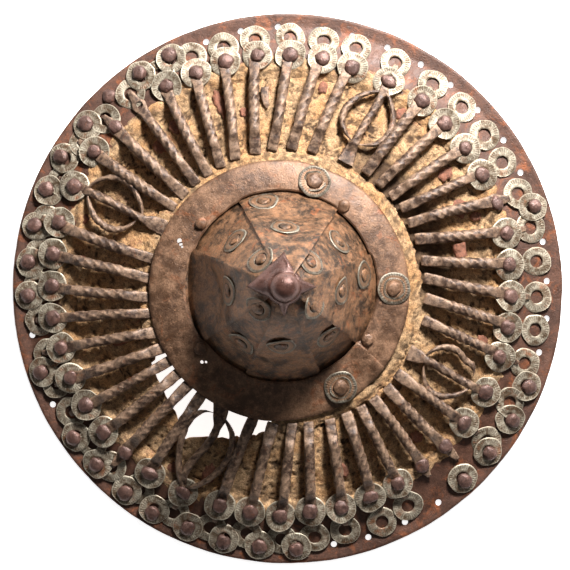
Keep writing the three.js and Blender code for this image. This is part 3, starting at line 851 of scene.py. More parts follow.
class BUCKLER_OT_bars(bpy.types.Operator):
    """Makes the forty twisted bars"""

    bl_idname = "buckler.bars"
    bl_label = "Twisted bars"

    def execute(self, context):
        sizes = sizes_in_mm()
        for slot in range(SLOTS):
            if slot % SLOTS_PER_QUARTER == KNOT_SLOT:
                continue
            name = f"bar_{slot + 1:02d}"
            obj = add_piece(
                f"twisted_{name}", plain_bar(sizes, slot), finish("bar"), "bar_iron", name,
                sharp=80,
            )
            if slot in LOST_RIVETS:
                drill = bmesh.new()
                rivet = rivet_place(slot)
                bmesh.ops.create_cone(
                    drill, cap_ends=True, segments=20, radius1=RIVET_SHANK_RADIUS,
                    radius2=RIVET_SHANK_RADIUS, depth=12,
                    matrix=Matrix.Translation((rivet.x, rivet.y, rim_top(rivet.length) + 1)),
                )
                cut_away(obj, drill)
        return {"FINISHED"}


class BUCKLER_OT_knot_bars(bpy.types.Operator):
    """Makes the four openwork knot bars"""

    bl_idname = "buckler.knot_bars"
    bl_label = "Knot bars"

    def execute(self, context):
        sizes = sizes_in_mm()
        for quarter in range(4):
            slot = quarter * SLOTS_PER_QUARTER + KNOT_SLOT
            name = f"knot_bar_{quarter + 1}"
            add_piece(
                f"openwork_{name}", knot_bar(sizes, slot), finish("bar"), "bar_iron", name,
                sharp=80,
            )
        return {"FINISHED"}


class BUCKLER_OT_tongue(bpy.types.Operator):
    """Makes the loose iron tongue that lies on the board between two bars"""

    bl_idname = "buckler.tongue"
    bl_label = "Loose tongue"

    def execute(self, context):
        bm = bmesh.new()
        place = polar(125, math.radians(96.4))
        along = place.normalized()
        foot, tip = place - along * 7, place + along * 7
        rows = [(0, 1.6, 1.0, 0), (0.2, 4.2, 1.3, 0.4), (0.7, 5.6, 1.4, 0.7), (1, 5.2, 1.4, 0.8)]
        add_strand(
            bm, foot, tip, rows, (0.4, 0.6, 0), lambda share: 0.8 * math.sin(3 * share), 3, cuts=16
        )
        add_piece("bent_iron_tongue", bm, finish("bar"), "bar_iron", "iron_tongue", sharp=80)
        return {"FINISHED"}


# ------------------------------------------------------------------ rim and its rows
class BUCKLER_OT_rim(bpy.types.Operator):
    """Makes the iron rim with its empty rivet holes"""

    bl_idname = "buckler.rim"
    bl_label = "Iron rim"

    def execute(self, context):
        sizes = sizes_in_mm()
        radius, thick = sizes["rim_radius"], sizes["rim_thickness"]
        inner = dome(RIM_INNER_RADIUS)
        bm = bmesh.new()
        outline = densify(
            [(RIM_FLAT_RADIUS, 0), (radius - 0.5, 0), (radius, thick * 0.35),
             (radius, thick * 0.7), (radius - 0.5, thick), (RIM_FLAT_RADIUS - 1, thick),
             (RIM_INNER_RADIUS, inner + thick), (RIM_INNER_RADIUS, inner)],
            1.6,
        )
        made = turned(bm, outline, 480)

        def beaten(co):
            reach, angle = co.xy.length, math.atan2(co.y, co.x)
            around = Vector((math.cos(angle), math.sin(angle), 0))
            outer = smooth(RIM_INNER_RADIUS + 10, radius, reach)
            waves = 0.5 + 0.5 * noise.noise(around * 9) + 0.25 * noise.noise(around * 40)
            reach -= outer * max(0.55 * waves, 0)
            top = co.z > dome(reach) + thick * 0.6 and co.z > thick * 0.6
            height = co.z + (0.28 * relief(co, 12, 1) + 0.12 * relief(co, 4, 2) if top else 0)
            return around * reach + Vector((0, 0, max(height, 0)))

        reshape(made, beaten)
        obj = add_piece("beaten_rim", bm, finish("rim"), "rim_iron", "rim")
        drills = bmesh.new()
        for k in range(SLOTS):
            if k not in KEPT_OUTER_RIVETS:
                place = outer_row_place(k)
                bmesh.ops.create_cone(
                    drills, cap_ends=True, segments=20, radius1=RIM_HOLE_RADIUS,
                    radius2=RIM_HOLE_RADIUS, depth=14, matrix=Matrix.Translation(place),
                )
        cut_away(obj, drills)
        return {"FINISHED"}


class BUCKLER_OT_washers(bpy.types.Operator):
    """Makes the three rows of washers along the rim"""

    bl_idname = "buckler.washers"
    bl_label = "Washers"

    def execute(self, context):
        sizes = sizes_in_mm()
        radius, hole, thick = (
            sizes["washer_radius"], sizes["washer_hole"], sizes["washer_thickness"],
        )
        rows = {"inner_washers": bmesh.new(), "second_washers": bmesh.new(),
                "outer_washers": bmesh.new()}
        for slot in range(SLOTS):
            place = rivet_place(slot)
            if slot not in LOST_WASHERS:
                height = rim_top(place.length) + GAP + sizes["flat_thickness"] - 0.2
                matrix = laid(place, height, 10 + 5 * wobble(slot, 31), 5 * wobble(slot, 32))
                add_washer(rows["inner_washers"], radius, hole, thick, matrix, slot)
            if slot not in LOST_SECOND_WASHERS:
                reach = SECOND_ROW_RADIUS + 1.2 * wobble(slot, 33)
                place = polar(reach, slot_angle(slot) + math.radians(0.6 * wobble(slot, 34)))
                matrix = laid(place, rim_top(reach) + 0.5, 15.5, 2 * wobble(slot, 35))
                add_washer(
                    rows["second_washers"], radius, hole, thick, matrix, slot + SLOTS
                )
        for k in KEPT_OUTER_RIVETS:
            if k not in OUTER_RIVETS_WITHOUT_WASHER:
                place = outer_row_place(k)
                reach = min(place.length, sizes["rim_radius"] - radius - 1.2)
                matrix = laid(place.normalized() * reach, 4.4, 13, 3 * wobble(k, 36))
                add_washer(
                    rows["outer_washers"], radius * 0.97, hole, thick, matrix, k + 2 * SLOTS
                )
        for name, bm in rows.items():
            add_piece(name, bm, finish("washer"), "washer_metal", sharp=60)
        return {"FINISHED"}


class BUCKLER_OT_rivets(bpy.types.Operator):
    """Makes the hammered rivet heads along the rim"""

    bl_idname = "buckler.rivets"
    bl_label = "Rivet heads"

    def execute(self, context):
        sizes = sizes_in_mm()
        radius, tall = sizes["rivet_radius"], sizes["rivet_height"]
        inner, outer = bmesh.new(), bmesh.new()
        for slot in range(SLOTS):
            if slot in LOST_RIVETS:
                continue
            place = rivet_place(slot)
            height = rim_top(place.length) + GAP + sizes["flat_thickness"] - 0.2
            if slot not in LOST_WASHERS:
                height += sizes["washer_thickness"]
            matrix = laid(place, height, 9 + 4 * wobble(slot, 31), 5 * wobble(slot, 32))
            size = radius * (1 + 0.08 * wobble(slot, 41))
            add_rivet(inner, size, tall, matrix, slot, squared_off=wobble(slot, 42) > 0.6)
        for k in KEPT_OUTER_RIVETS:
            place = outer_row_place(k)
            height = 2 if k in OUTER_RIVETS_WITHOUT_WASHER else 4.9
            matrix = laid(place, height, 12)
            add_rivet(outer, radius * (1 + 0.08 * wobble(k, 43)), tall, matrix, k + SLOTS)
        add_piece("inner_rivets", inner, finish("rivet"), "rivet_iron", sharp=60)
        add_piece("outer_rivets", outer, finish("rivet"), "rivet_iron", sharp=60)
        return {"FINISHED"}


# ------------------------------------------------------------------ board and leather
def board_depth(point):
    """How far the board's face has crumbled away at a point, from 0 to 1."""
    warped = point + noise.noise_vector(point / 9) * 3
    layer = 0.5 + 0.5 * noise.fractal(warped / 13, 0.9, 2.1, 4)
    steps = math.floor(layer * 4) / 4 + smooth(0.75, 1, layer * 4 % 1) / 4
    pits = smooth(0.15, 0.55, noise.fractal(warped / 3.6 + Vector((9, 0, 0)), 0.7, 2.2, 4))
    gaps = noise.voronoi(warped / 13 + noise.noise_vector(point / 4) * 0.15)[0]
    cracks = 1 - smooth(0.01, 0.05, gaps[1] - gaps[0])
    shown = smooth(-0.1, 0.3, noise.noise(point / 19 + Vector((0, 5, 0))))
    return min(0.6 * (1 - steps) + 0.45 * pits + 0.5 * cracks * shown, 1)


def break_gap():
    """The jagged prism that the board has lost."""
    corners = [polar(r, math.radians(a)) for a, r in BREAK_OUTLINE]
    start, end = BREAK_OUTLINE[0][0], BREAK_OUTLINE[-1][0]
    inside = [
        polar(BREAK_INNER_RADIUS, math.radians(lerp(end, start, i / 12))) for i in range(13)
    ]
    outline = []
    for a, b in zip(corners, corners[1:]):
        for i in range(6):
            outline.append(roughen(a.lerp(b, i / 6), 2.5, 1.3, 6))
    outline += [corners[-1]] + inside
    bm = bmesh.new()
    verts = [bm.verts.new((point.x, point.y, -5)) for point in outline]
    edge_face = bm.faces.new(verts)
    made = bmesh.ops.extrude_face_region(bm, geom=[edge_face])["geom"]
    top = [item for item in made if isinstance(item, bmesh.types.BMVert)]
    bmesh.ops.translate(bm, vec=(0, 0, 60), verts=top)
    bmesh.ops.recalc_face_normals(bm, faces=bm.faces)
    return bm


class BUCKLER_OT_board(bpy.types.Operator):
    """Makes the decayed backing board with its break"""

    bl_idname = "buckler.board"
    bl_label = "Backing board"

    def execute(self, context):
        sizes = sizes_in_mm()
        bm = bmesh.new()

        def face(radius):
            return dome(radius) - GAP

        outer, inner = BOARD_OUTER_RADIUS, BOARD_INNER_RADIUS
        under = [(r, face(r) - BOARD_THICKNESS) for r in (inner, 90, 125, outer)]
        over = [(outer, face(outer) - 0.4)]
        radius = outer - 1.0
        while radius > SEAT_RADIUS + SEAT_SLOPE:
            over.append((radius, face(radius) - (0.4 if radius > 120 else 0)))
            radius -= 0.95
        over += [(SEAT_RADIUS + SEAT_SLOPE, face(SEAT_RADIUS + SEAT_SLOPE)),
                 (SEAT_RADIUS, dome(60) - GAP), (inner, dome(60) - GAP)]
        # the depth layer holds how much painted shade each point of the board gets
        depth = bm.verts.layers.float.new("depth")
        made = turned(bm, under + over, 620)
        for vert in made:
            reach = vert.co.xy.length
            share = (outer - reach) / (outer - inner)
            on_top = vert.co.z > face(reach) - 1 and SEAT_RADIUS + 2 < reach < outer - 0.5
            if on_top:
                crumbled = board_depth(vert.co)
                angle = math.degrees(math.atan2(vert.co.y, vert.co.x))
                # the board on the right near the plate is crumbled deeper, which lowers it and
                # gives it more painted shade
                bare = smooth(-30, 5, angle) * smooth(85, 50, angle) * smooth(128, 100, reach)
                crumbled = max(crumbled, bare * (0.7 + 0.5 * crumbled))
                vert[depth] = smooth(0.35, 1.0, crumbled)
                fibres = 0.25 * relief(vert.co, 1.6, 3)
                vert.co.z -= sizes["board_relief"] * min(crumbled * 1.5, 1.7) - fibres
                vert.co = roughen(vert.co, 3, 0.3, 4)
            elif reach > SEAT_RADIUS:
                vert.co.z += 0.3 * relief(vert.co, 10, 5)
                # the sides, seat and underside get a fixed share of painted shade
                vert[depth] = 0.4
            vert.co.z = max(vert.co.z, 0.05)
            vert.co.x += BOSS_CENTRE.x * share
            vert.co.y += BOSS_CENTRE.y * share
        obj = add_piece("decayed_board", bm, finish("board"), "board", "backing_board", sharp=70)
        cut_away(obj, break_gap())
        cut_away(obj, hole_drills())
        return {"FINISHED"}


def crust_ring(rows, steps, rule):
    """A ring of crust. The rule gives a point and how much painted shade it gets, from the share
    of the way outwards, the angle and whether the point is on top."""
    bm = bmesh.new()
    depth = bm.verts.layers.float.new("depth")
    outline = [(i / rows, 1) for i in range(rows + 1)] + [(1, 0), (0, 0)]
    for vert in turned(bm, [(1 + share, up) for share, up in outline], steps):
        share, angle = vert.co.xy.length - 1, math.atan2(vert.co.y, vert.co.x)
        vert.co, vert[depth] = rule(share, angle, vert.co.z > 0.5)
    bmesh.ops.recalc_face_normals(bm, faces=bm.faces)
    return bm


CRUST_INNER_RADIUS = 137.5
CRUST_EDGE_RADIUS = 150.5
CRUST_THICKNESS = 1.2
DUST_INNER_RADIUS = 84
DUST_EDGE_RADIUS = 91.5


class BUCKLER_OT_crust(bpy.types.Operator):
    """Makes the crust of board and dust that hides the rim's inner edge"""

    bl_idname = "buckler.crust"
    bl_label = "Crust on the rim"

    def execute(self, context):
        over_rim = RIM_INNER_RADIUS + 0.5

        def crust(share, angle, on_top):
            around = polar(1, angle)
            edge = CRUST_EDGE_RADIUS + 2.6 * noise.noise(around * 8)
            edge += 1.8 * noise.noise(around * 45)
            reach = lerp(CRUST_INNER_RADIUS, edge, share)
            point = around * reach
            crumb = noise.fractal(point / 5, 0.8, 2.1, 4)
            low = dome(CRUST_INNER_RADIUS) - 1.4
            height = lerp(low, rim_top(RIM_INNER_RADIUS) + 0.5, smooth(137, over_rim, reach))
            if reach > over_rim:
                height = rim_top(reach) + 0.5
            height += 0.75 * crumb * smooth(0, 0.2, share) - 0.6 * smooth(0.85, 1, share)
            height -= 0 if on_top else CRUST_THICKNESS
            point.z = height
            # the lower crumbs get painted shade
            return roughen(point, 3, 0.35, 5), smooth(0.1, -0.5, crumb) * 0.8

        bm = crust_ring(20, 520, crust)
        add_piece("crust_on_rim", bm, finish("board"), "board", sharp=70)
        return {"FINISHED"}


class BUCKLER_OT_dust(bpy.types.Operator):
    """Makes the crust of dust that has gathered between the feet and the centre plate"""

    bl_idname = "buckler.dust"
    bl_label = "Dust at the plate"

    def execute(self, context):
        gap_start, gap_end = BREAK_OUTLINE[0][0] - 2, BREAK_OUTLINE[-1][0] + 2

        def dust(share, angle, on_top):
            around = polar(1, angle)
            edge = DUST_EDGE_RADIUS + 2.4 * noise.noise(around * 7)
            edge += 1.6 * noise.noise(around * 40)
            point = around * lerp(DUST_INNER_RADIUS, edge, share) + PLATE_CENTRE
            crumb = noise.fractal(point / 4, 0.8, 2.1, 4)
            heap = smooth(-0.5, 0.4, noise.noise(around * 3 + Vector((0, 0, 4))))
            height = 1.8 + 1.7 * heap + 0.7 * crumb - 1.6 * smooth(0.55, 1, share)
            if gap_start < math.degrees(angle) % 360 < gap_end:
                height = 0.3
            point.z = dome(point.length) - 1.6 + (height if on_top else 0)
            # the lower crumbs get painted shade
            return roughen(point, 3, 0.3, 7), smooth(0.1, -0.5, crumb) * 0.7

        bm = crust_ring(12, 420, dust)
        cut_away(add_piece("dust_at_plate", bm, finish("board"), "board", sharp=70), break_gap())
        return {"FINISHED"}


LEATHER_SCRAPS = (
    # angle in degrees, distance, length outwards, width, height over the face
    (25, 124, 14, 14, 0.6), (36, 127, 12, 9, 0.8), (21, 131, 9, 7, 0.4), (110, 128, 22, 9, 0.5),
    (104, 118, 8, 6, 0.4), (125, 128, 12, 8, 0.8), (132, 124, 11, 9, 0.6), (150, 146, 9, 8, 0.8),
    (161, 141, 10, 8, 0.5), (197, 114, 14, 9, 0.4), (238, 140, 14, 12, 0.8),
    (247, 131, 16, 10, 0.6), (57, 136, 10, 8, 0.4), (287, 124, 11, 8, 0.5), (311, 128, 10, 9, 0.4),
    (345, 131, 9, 9, 0.4), (172, 136, 9, 7, 0.4), (80, 133, 9, 7, 0.4),
)


class BUCKLER_OT_leather(bpy.types.Operator):
    """Makes the red leather remnants and the curled scrap on the board"""

    bl_idname = "buckler.leather"
    bl_label = "Leather remnants"

    def execute(self, context):
        bm = bmesh.new()
        for seed, (degrees, reach, long, wide, height) in enumerate(LEATHER_SCRAPS):
            middle = polar(reach, math.radians(degrees))
            outwards = middle.normalized()
            sideways = Vector((-outwards.y, outwards.x, 0))

            def patch(u, v):
                x, y = 2 * u - 1, 2 * v - 1
                # a square grid drawn in to a torn, roundish outline
                spread = max(abs(x), abs(y)) / max(math.hypot(x, y), 1e-6)
                angle = math.atan2(y, x)
                torn = 0.85 + 0.3 * noise.noise(polar(1, angle, seed) * 2)
                point = middle + outwards * (x * spread * torn * long / 2)
                point += sideways * (y * spread * torn * wide / 2)
                ripple = 0.7 * relief(point, 4, seed) + 0.35 * relief(point, 1.8, seed)
                edge = smooth(0.7, 1, max(abs(x), abs(y)))
                point.z = dome(point.xy.length) + height + ripple * 0.6 - 0.8 * edge
                return point

            shell(bm, 16, 16, patch, 0.7)
        add_piece("leather_remnants", bm, finish("leather"), "leather", sharp=60)

        bm = bmesh.new()
        middle = polar(113.5, math.radians(12.5))
        outwards = middle.normalized()
        sideways = Vector((-outwards.y, outwards.x, 0))

        def curl(u, v):
            turn = lerp(-0.4, 1.25, u) * math.pi
            size = lerp(4.2, 2.6, u)
            crease = 1.5 * relief(middle + Vector((u * 9, v * 5, 0)), 4)
            point = middle + outwards * (math.cos(turn) * size + crease)
            point += sideways * lerp(-4.5, 4.5, v)
            point.z = dome(middle.length) + 3.4 + math.sin(turn) * size
            return roughen(point, 3, 0.5, 8)

        shell(bm, 28, 12, curl, 0.8)
        add_piece("curled_leather", bm, finish("leather"), "leather", sharp=60)
        return {"FINISHED"}


# ------------------------------------------------------------------ centre plate
SEAT_HEIGHT = dome(60)
FLANGE_TOP = SEAT_HEIGHT + 3.3


def plate_under(radius):
    """Height of the centre plate's underside at a distance from its own centre."""
    edge = dome(BAR_INNER_RADIUS) + 2.9
    share = max((radius - PLATE_OPENING_RADIUS) / (PLATE_RADIUS - PLATE_OPENING_RADIUS), 0)
    return lerp(FLANGE_TOP + GAP, edge, share**1.7)


def plate_opening(degrees):
    """Distance of the plate's inner edge, which is hammered in close to the gores."""
    seams = GORE_SEAMS + (GORE_SEAMS[0] + 360,)
    turn = (degrees - seams[0]) % 360 + seams[0]
    upper = 0
    for i in range(0, 8, 2):
        inside = smooth(seams[i] - 4, seams[i] + 2, turn)
        inside *= smooth(seams[i + 1] + 4, seams[i + 1] - 2, turn)
        upper = max(upper, inside)
    return lerp(60.4, 61.9, upper)


PLATE_HOLES = (
    # angle in degrees, distance and radius of each hole that goes through plate and board
    (156.2, 76.5, 1.7), (157.4, 74.8, 1.3), (158.4, 73.4, 0.9), (220.6, 73, 1.2), (222, 71, 0.9),
)


def hole_drills():
    """The rods that drill the small holes next to the boss."""
    bm = bmesh.new()
    for degrees, reach, radius in PLATE_HOLES:
        bmesh.ops.create_cone(
            bm, cap_ends=True, segments=16, radius1=radius, radius2=radius, depth=80,
            matrix=Matrix.Translation(polar(reach, math.radians(degrees))),
        )
    return bm


PLATE_WASHER_ANGLES = (72, 1, -57.5)
PLATE_WASHER = (10.8, 5.2, 0.8)  # radius, radius of the hole, thickness
PLATE_COLLAR = (7.6, 4.4, 1.2)
PLATE_RIVET = (5.2, 2.4)  # radius, height
FLANGE_RIVET_ANGLES = (52, 142, 218, 328)
FLANGE_RIVET = (4.2, 2.2)
PLATE_SEAM_ANGLE = -39  # degrees about the plate's centre
PLATE_LAP = 3  # degrees that the ends of the ring overlap


class BUCKLER_OT_plate(bpy.types.Operator):
    """Makes the centre plate, a ring of sheet with lapped ends"""

    bl_idname = "buckler.plate"
    bl_label = "Centre plate"

    def execute(self, context):
        sizes = sizes_in_mm()
        thick = sizes["plate_thickness"]
        bm = bmesh.new()
        corners = [(0.0, 0.0), (1.0, 0.0), (1.0, 1.0), (0.0, 1.0)]
        outline = []
        for (a0, b0), (a1, b1) in zip(corners, corners[1:] + corners[:1]):
            parts = 20 if b0 == b1 else 3
            outline += [(lerp(a0, a1, i / parts), lerp(b0, b1, i / parts)) for i in range(parts)]
        made = rod(bm, len(outline), 400)
        opening = BOSS_CENTRE - PLATE_CENTRE
        start = math.radians(PLATE_SEAM_ANGLE)
        sweep = math.tau + math.radians(PLATE_LAP)
        for vert in made:
            turn, share = math.atan2(vert.co.y, vert.co.x) % math.tau, vert.co.z
            across, up = outline[round(turn / math.tau * len(outline)) % len(outline)]
            angle = start + sweep * share
            around = Vector((math.cos(angle), math.sin(angle), 0))
            inner = plate_opening(math.degrees(angle)) + 0.4 * noise.noise(around * 7)
            outer = PLATE_RADIUS - 0.7 + 0.6 * noise.noise(around * 4 + Vector((0, 0, 5)))
            reach = lerp(inner, outer, across)
            lapped = smooth(0.965, 0.995, share) * (thick - 0.35)
            point = around * reach + opening * (1 - across)
            point.z = plate_under(lerp(PLATE_OPENING_RADIUS, PLATE_RADIUS, across))
            point.z += up * thick + lapped - 0.1
            point.z += 0.35 * relief(point, 20, 11) + 0.16 * relief(point, 6, 12)
            vert.co = point + PLATE_CENTRE
        bmesh.ops.recalc_face_normals(bm, faces=bm.faces)
        obj = add_piece("lapped_centre_plate", bm, finish("plate"), "plate_iron", "centre_plate")
        cut_away(obj, hole_drills())
        washers, rivets = bmesh.new(), bmesh.new()
        for seed, degrees in enumerate(PLATE_WASHER_ANGLES):
            place = polar(PLATE_RIVET_RADIUS, math.radians(degrees))
            height = plate_under(PLATE_RIVET_RADIUS) + thick + 0.1
            shift = Matrix.Translation(PLATE_CENTRE)
            matrix = shift @ laid(place, height, 12)
            add_washer(washers, *PLATE_WASHER, matrix, seed + 200, steps=56)
            add_washer(washers, *PLATE_COLLAR, matrix, seed + 210, steps=48)
            add_rivet(rivets, *PLATE_RIVET, shift @ laid(place, height + 0.7, 12), seed + 200)
        for seed, degrees in enumerate(FLANGE_RIVET_ANGLES):
            place = polar(PLATE_OPENING_RADIUS + 3, math.radians(degrees)) + opening + PLATE_CENTRE
            matrix = Matrix.Translation((place.x, place.y, FLANGE_TOP + GAP + thick - 0.2))
            add_rivet(rivets, *FLANGE_RIVET, matrix, seed + 220)
        add_piece("plate_washers", washers, finish("boss_washer"), "washer_metal", sharp=60)
        add_piece("plate_rivets", rivets, finish("plate"), "rivet_iron", sharp=60)
        return {"FINISHED"}


# ------------------------------------------------------------------ boss
def boss_section(distance):
    """The boss's section moved outwards by a distance, square to itself."""
    moved = []
    last = len(BOSS_PROFILE) - 1
    for i, (radius, height) in enumerate(BOSS_PROFILE):
        r0, h0 = BOSS_PROFILE[max(i - 1, 0)]
        r1, h1 = BOSS_PROFILE[min(i + 1, last)]
        normal = Vector((h1 - h0, r0 - r1)).normalized()
        if i in (0, last):
            moved.append((radius, height + distance / normal.y))
        else:
            moved.append((radius + normal.x * distance, height + normal.y * distance))
    return moved


def facet_share(degrees, height):
    """How much of the round section's distance a flat face keeps."""
    seams = GORE_SEAMS + (GORE_SEAMS[0] + 360,)
    turn = (degrees - seams[0]) % 360 + seams[0]
    face = max(i for i in range(8) if seams[i] <= turn + 1e-6)
    half = math.radians(seams[face + 1] - seams[face]) / 2
    middle = math.radians(seams[face + 1] + seams[face]) / 2
    flat = math.cos(half) / math.cos(math.radians(turn) - middle)
    return lerp(1, flat, 0.95 * min(max(height / 25, 0), 1))


def section_point(section, share):
    """A point along the boss's section, rounded where it turns, from flange to apex."""
    spot = share * (len(section) - 1)
    i = min(int(spot), len(section) - 2)
    t = spot - i
    p0, p1, p2, p3 = (
        section[max(i - 1, 0) if i != 1 else 1], section[i], section[i + 1],
        section[min(i + 2, len(section) - 1)],
    )
    if i == 0:
        return lerp(p1[0], p2[0], t), lerp(p1[1], p2[1], t)

    def curve(a, b, c, d):
        return 0.5 * (2 * b + (c - a) * t + (2 * a - 5 * b + 4 * c - d) * t**2
                      + (3 * b - a - 3 * c + d) * t**3)

    return curve(p0[0], p1[0], p2[0], p3[0]), curve(p0[1], p1[1], p2[1], p3[1])


BOSS_DENTS = (
    # angle in degrees, height, reach around in millimetres, depth
    (180, 24, 17, 5.2), (200, 34, 12, 1.6), (330, 50, 11, 1.2), (60, 30, 14, 0.8),
    (100, 58, 10, 0.8), (245, 18, 12, 1.0), (20, 55, 9, 0.7),
)


def boss_point(degrees, share, distance):
    """A point on the boss at an angle, a share of its section and a distance out."""
    radius, height = section_point(boss_section(distance), share)
    radius *= facet_share(degrees, height)
    for dent_angle, dent_height, reach, depth in BOSS_DENTS:
        turn = (degrees - dent_angle + 180) % 360 - 180
        away = math.hypot(math.radians(turn) * radius, height - dent_height)
        radius -= depth * math.exp(-((away / reach) ** 2))
    return polar(radius, math.radians(degrees), height)


def stand_boss(bm, verts):
    """Leans a part of the boss over and stands it on the shield."""
    lean = Matrix.Identity(4)
    lean[0][2], lean[1][2] = BOSS_LEAN.x / BOSS_HEIGHT, BOSS_LEAN.y / BOSS_HEIGHT
    place = Matrix.Translation(BOSS_CENTRE + Vector((0, 0, SEAT_HEIGHT)))
    bmesh.ops.transform(bm, matrix=place @ lean, verts=verts)


def gore_lift(name, degrees, share):
    """How far a gore has sprung off the one under it."""
    if name == "north":
        edge = smooth(86, 57, degrees)
        return 1.6 * edge * smooth(0.15, 0.4, share) + 1.6 * edge * smooth(0.62, 0.8, share)
    if name == "south":
        return 0.5 + 1.2 * smooth(0.16, 0.06, share)
    if name == "west":
        return 0.9 * smooth(172, 159, degrees)
    return 0.0


class BUCKLER_OT_boss(bpy.types.Operator):
    """Makes the eight gores of the boss"""

    bl_idname = "buckler.boss"
    bl_label = "Boss gores"

    def execute(self, context):
        thick = sizes_in_mm()["gore_thickness"]
        for index, name in enumerate(GORE_NAMES):
            upper = index % 2 == 0
            past = 1.5 if upper else 4.5
            distance = 2 * thick + GAP if upper else thick
            seams = GORE_SEAMS + (GORE_SEAMS[0] + 360,)
            start, end = seams[index] - past, seams[index + 1] + past
            bm = bmesh.new()

            def sheet(u, v):
                top = 0.93 + 0.03 * wobble(index, 51)
                share = lerp(0.05, top, v)
                jag = 0.7 * noise.noise(Vector((v * 9, index * 3.3, 0 if u < 0.5 else 7)))
                degrees = lerp(start + jag, end + jag, u)
                lift = gore_lift(name, degrees, share)
                point = boss_point(degrees, share, distance + lift)
                outwards = Vector((point.x, point.y, 0)).normalized()
                point += outwards * 0.3 * relief(point, 11, index)
                return roughen(point, 4, 0.15, index)

            made = shell(bm, 36, 96, sheet, thick)
            stand_boss(bm, made)
            add_piece(f"sheet_gore_{name}", bm, finish("boss"), "boss_iron", f"gore_{name}")
        return {"FINISHED"}


BOSS_WASHER = (9.5, 4.4, 0.7)  # radius, radius of the hole, thickness
BOSS_RIVET = (4.3, 1.9)  # radius, height


class BUCKLER_OT_boss_washers(bpy.types.Operator):
    """Makes the washers and rivet heads on the boss"""

    bl_idname = "buckler.boss_washers"
    bl_label = "Boss washers"

    def execute(self, context):
        thick = sizes_in_mm()["gore_thickness"]
        washers, rivets = bmesh.new(), bmesh.new()
        seed = 300
        for index, name in enumerate(GORE_NAMES):
            distance = 2 * thick + GAP if index % 2 == 0 else thick
            for degrees, height in GORE_WASHERS[name]:
                share = self.share_at(distance, height)
                lift = gore_lift(name, degrees, share)
                centre = boss_point(degrees, share, distance + lift)
                up = boss_point(degrees, share + 0.02, distance + lift) - centre
                around = boss_point(degrees + 3, share, distance + lift) - centre
                normal = around.cross(up).normalized()
                turn = normal.to_track_quat("Z", "Y").to_matrix().to_4x4()
                matrix = Matrix.Translation(centre + normal * 0.25) @ turn
                count = len(washers.verts)
                add_washer(washers, *BOSS_WASHER, matrix, seed, steps=48)
                stand_boss(washers, newest(washers, count))
                count = len(rivets.verts)
                add_rivet(rivets, *BOSS_RIVET, matrix, seed)
                stand_boss(rivets, newest(rivets, count))
                seed += 1
        add_piece("boss_washers", washers, finish("boss_washer"), "washer_metal", sharp=60)
        add_piece("boss_rivets", rivets, finish("boss"), "rivet_iron", sharp=60)
        return {"FINISHED"}

    def share_at(self, distance, height):
        """The share of the section that is at a height."""
        section = boss_section(distance)
        return next(
            share / 200 for share in range(40, 200)
            if section_point(section, share / 200)[1] >= height
        )


CAP_COLLAR_RADIUS = 11.5
CAP_ARMS = (
    # angle in degrees, reach, half width at the middle on its right and on its left
    (0, 20.5, 9, 10), (90, 20.5, 12.5, 20), (180, 23.4, 22, 11.5), (270, 18.5, 9, 8),
)


def cap_edge(angle):
    """Distance of the cap's edge from its ball, at an angle in radians."""
    edge = CAP_COLLAR_RADIUS
    for degrees, reach, right, left in CAP_ARMS:
        turn = (angle - math.radians(degrees) + math.pi) % math.tau - math.pi
        if abs(turn) < math.pi / 2:
            half = left if turn > 0 else right
            edge = max(edge, 1 / (math.cos(turn) / reach + abs(math.sin(turn)) / half))
    return edge


class BUCKLER_OT_cap(bpy.types.Operator):
    """Makes the four-pointed cap with its ball"""

    bl_idname = "buckler.cap"
    bl_label = "Star cap"

    def execute(self, context):
        thick = sizes_in_mm()["gore_thickness"]
        ball = sizes_in_mm()["ball_radius"]
        section = boss_section(2 * thick + GAP + 1.3)

        def under(radius):
            """Height of the gores' outer face under the cap."""
            place = max(radius, 5)
            for (r0, h0), (r1, h1) in zip(section, section[1:]):
                if r1 <= place:
                    return lerp(h0, h1, (place - r0) / (r1 - r0))
            return section[-1][1]

        bm, sphere = bmesh.new(), bmesh.new()
        outline = [(0.02, 0.0)] + [(i / 14, 0.0) for i in range(1, 15)]
        outline += [(1.0, 0.5)] + [(1 - i / 14, 1.0) for i in range(1, 14)] + [(0.02, 1.0)]
        made = turned(bm, outline, 144)
        for vert in made:
            share, angle = vert.co.xy.length, math.atan2(vert.co.y, vert.co.x) % math.tau
            edge = cap_edge(angle)
            reach = share * edge
            fold = smooth(0, 0.25, angle) * smooth(1.6, 1.45, angle) * smooth(0.6, 0.95, share)
            ridge = math.cos(4 * angle) * smooth(0.2, 0.8, share) * 0.8 + 1.3 * fold
            collar = 0.9 * math.exp(-((reach - ball - 1.0) / 1.1) ** 2)
            crown = lerp(3.6, 1.5, smooth(0, 1, share)) + ridge + collar
            height = under(reach) + vert.co.z * max(crown, 0.8) - 1.2 * smooth(0.85, 1, share)
            vert.co = roughen(polar(reach, angle, height), 5, 0.2, 61)
        bmesh.ops.remove_doubles(bm, verts=bm.verts, dist=0.7)
        top = under(0) + 0.7 + ball
        bmesh.ops.create_uvsphere(sphere, u_segments=56, v_segments=32, radius=ball)
        reshape(sphere.verts, lambda co: roughen(co, 6, 0.12, 62) + Vector((0, 0, top)))
        absorb(bm, sphere)
        stand_boss(bm, bm.verts)
        add_piece("star_cap_and_ball", bm, finish("cap"), "cap_iron", "star_cap", sharp=70)
        return {"FINISHED"}


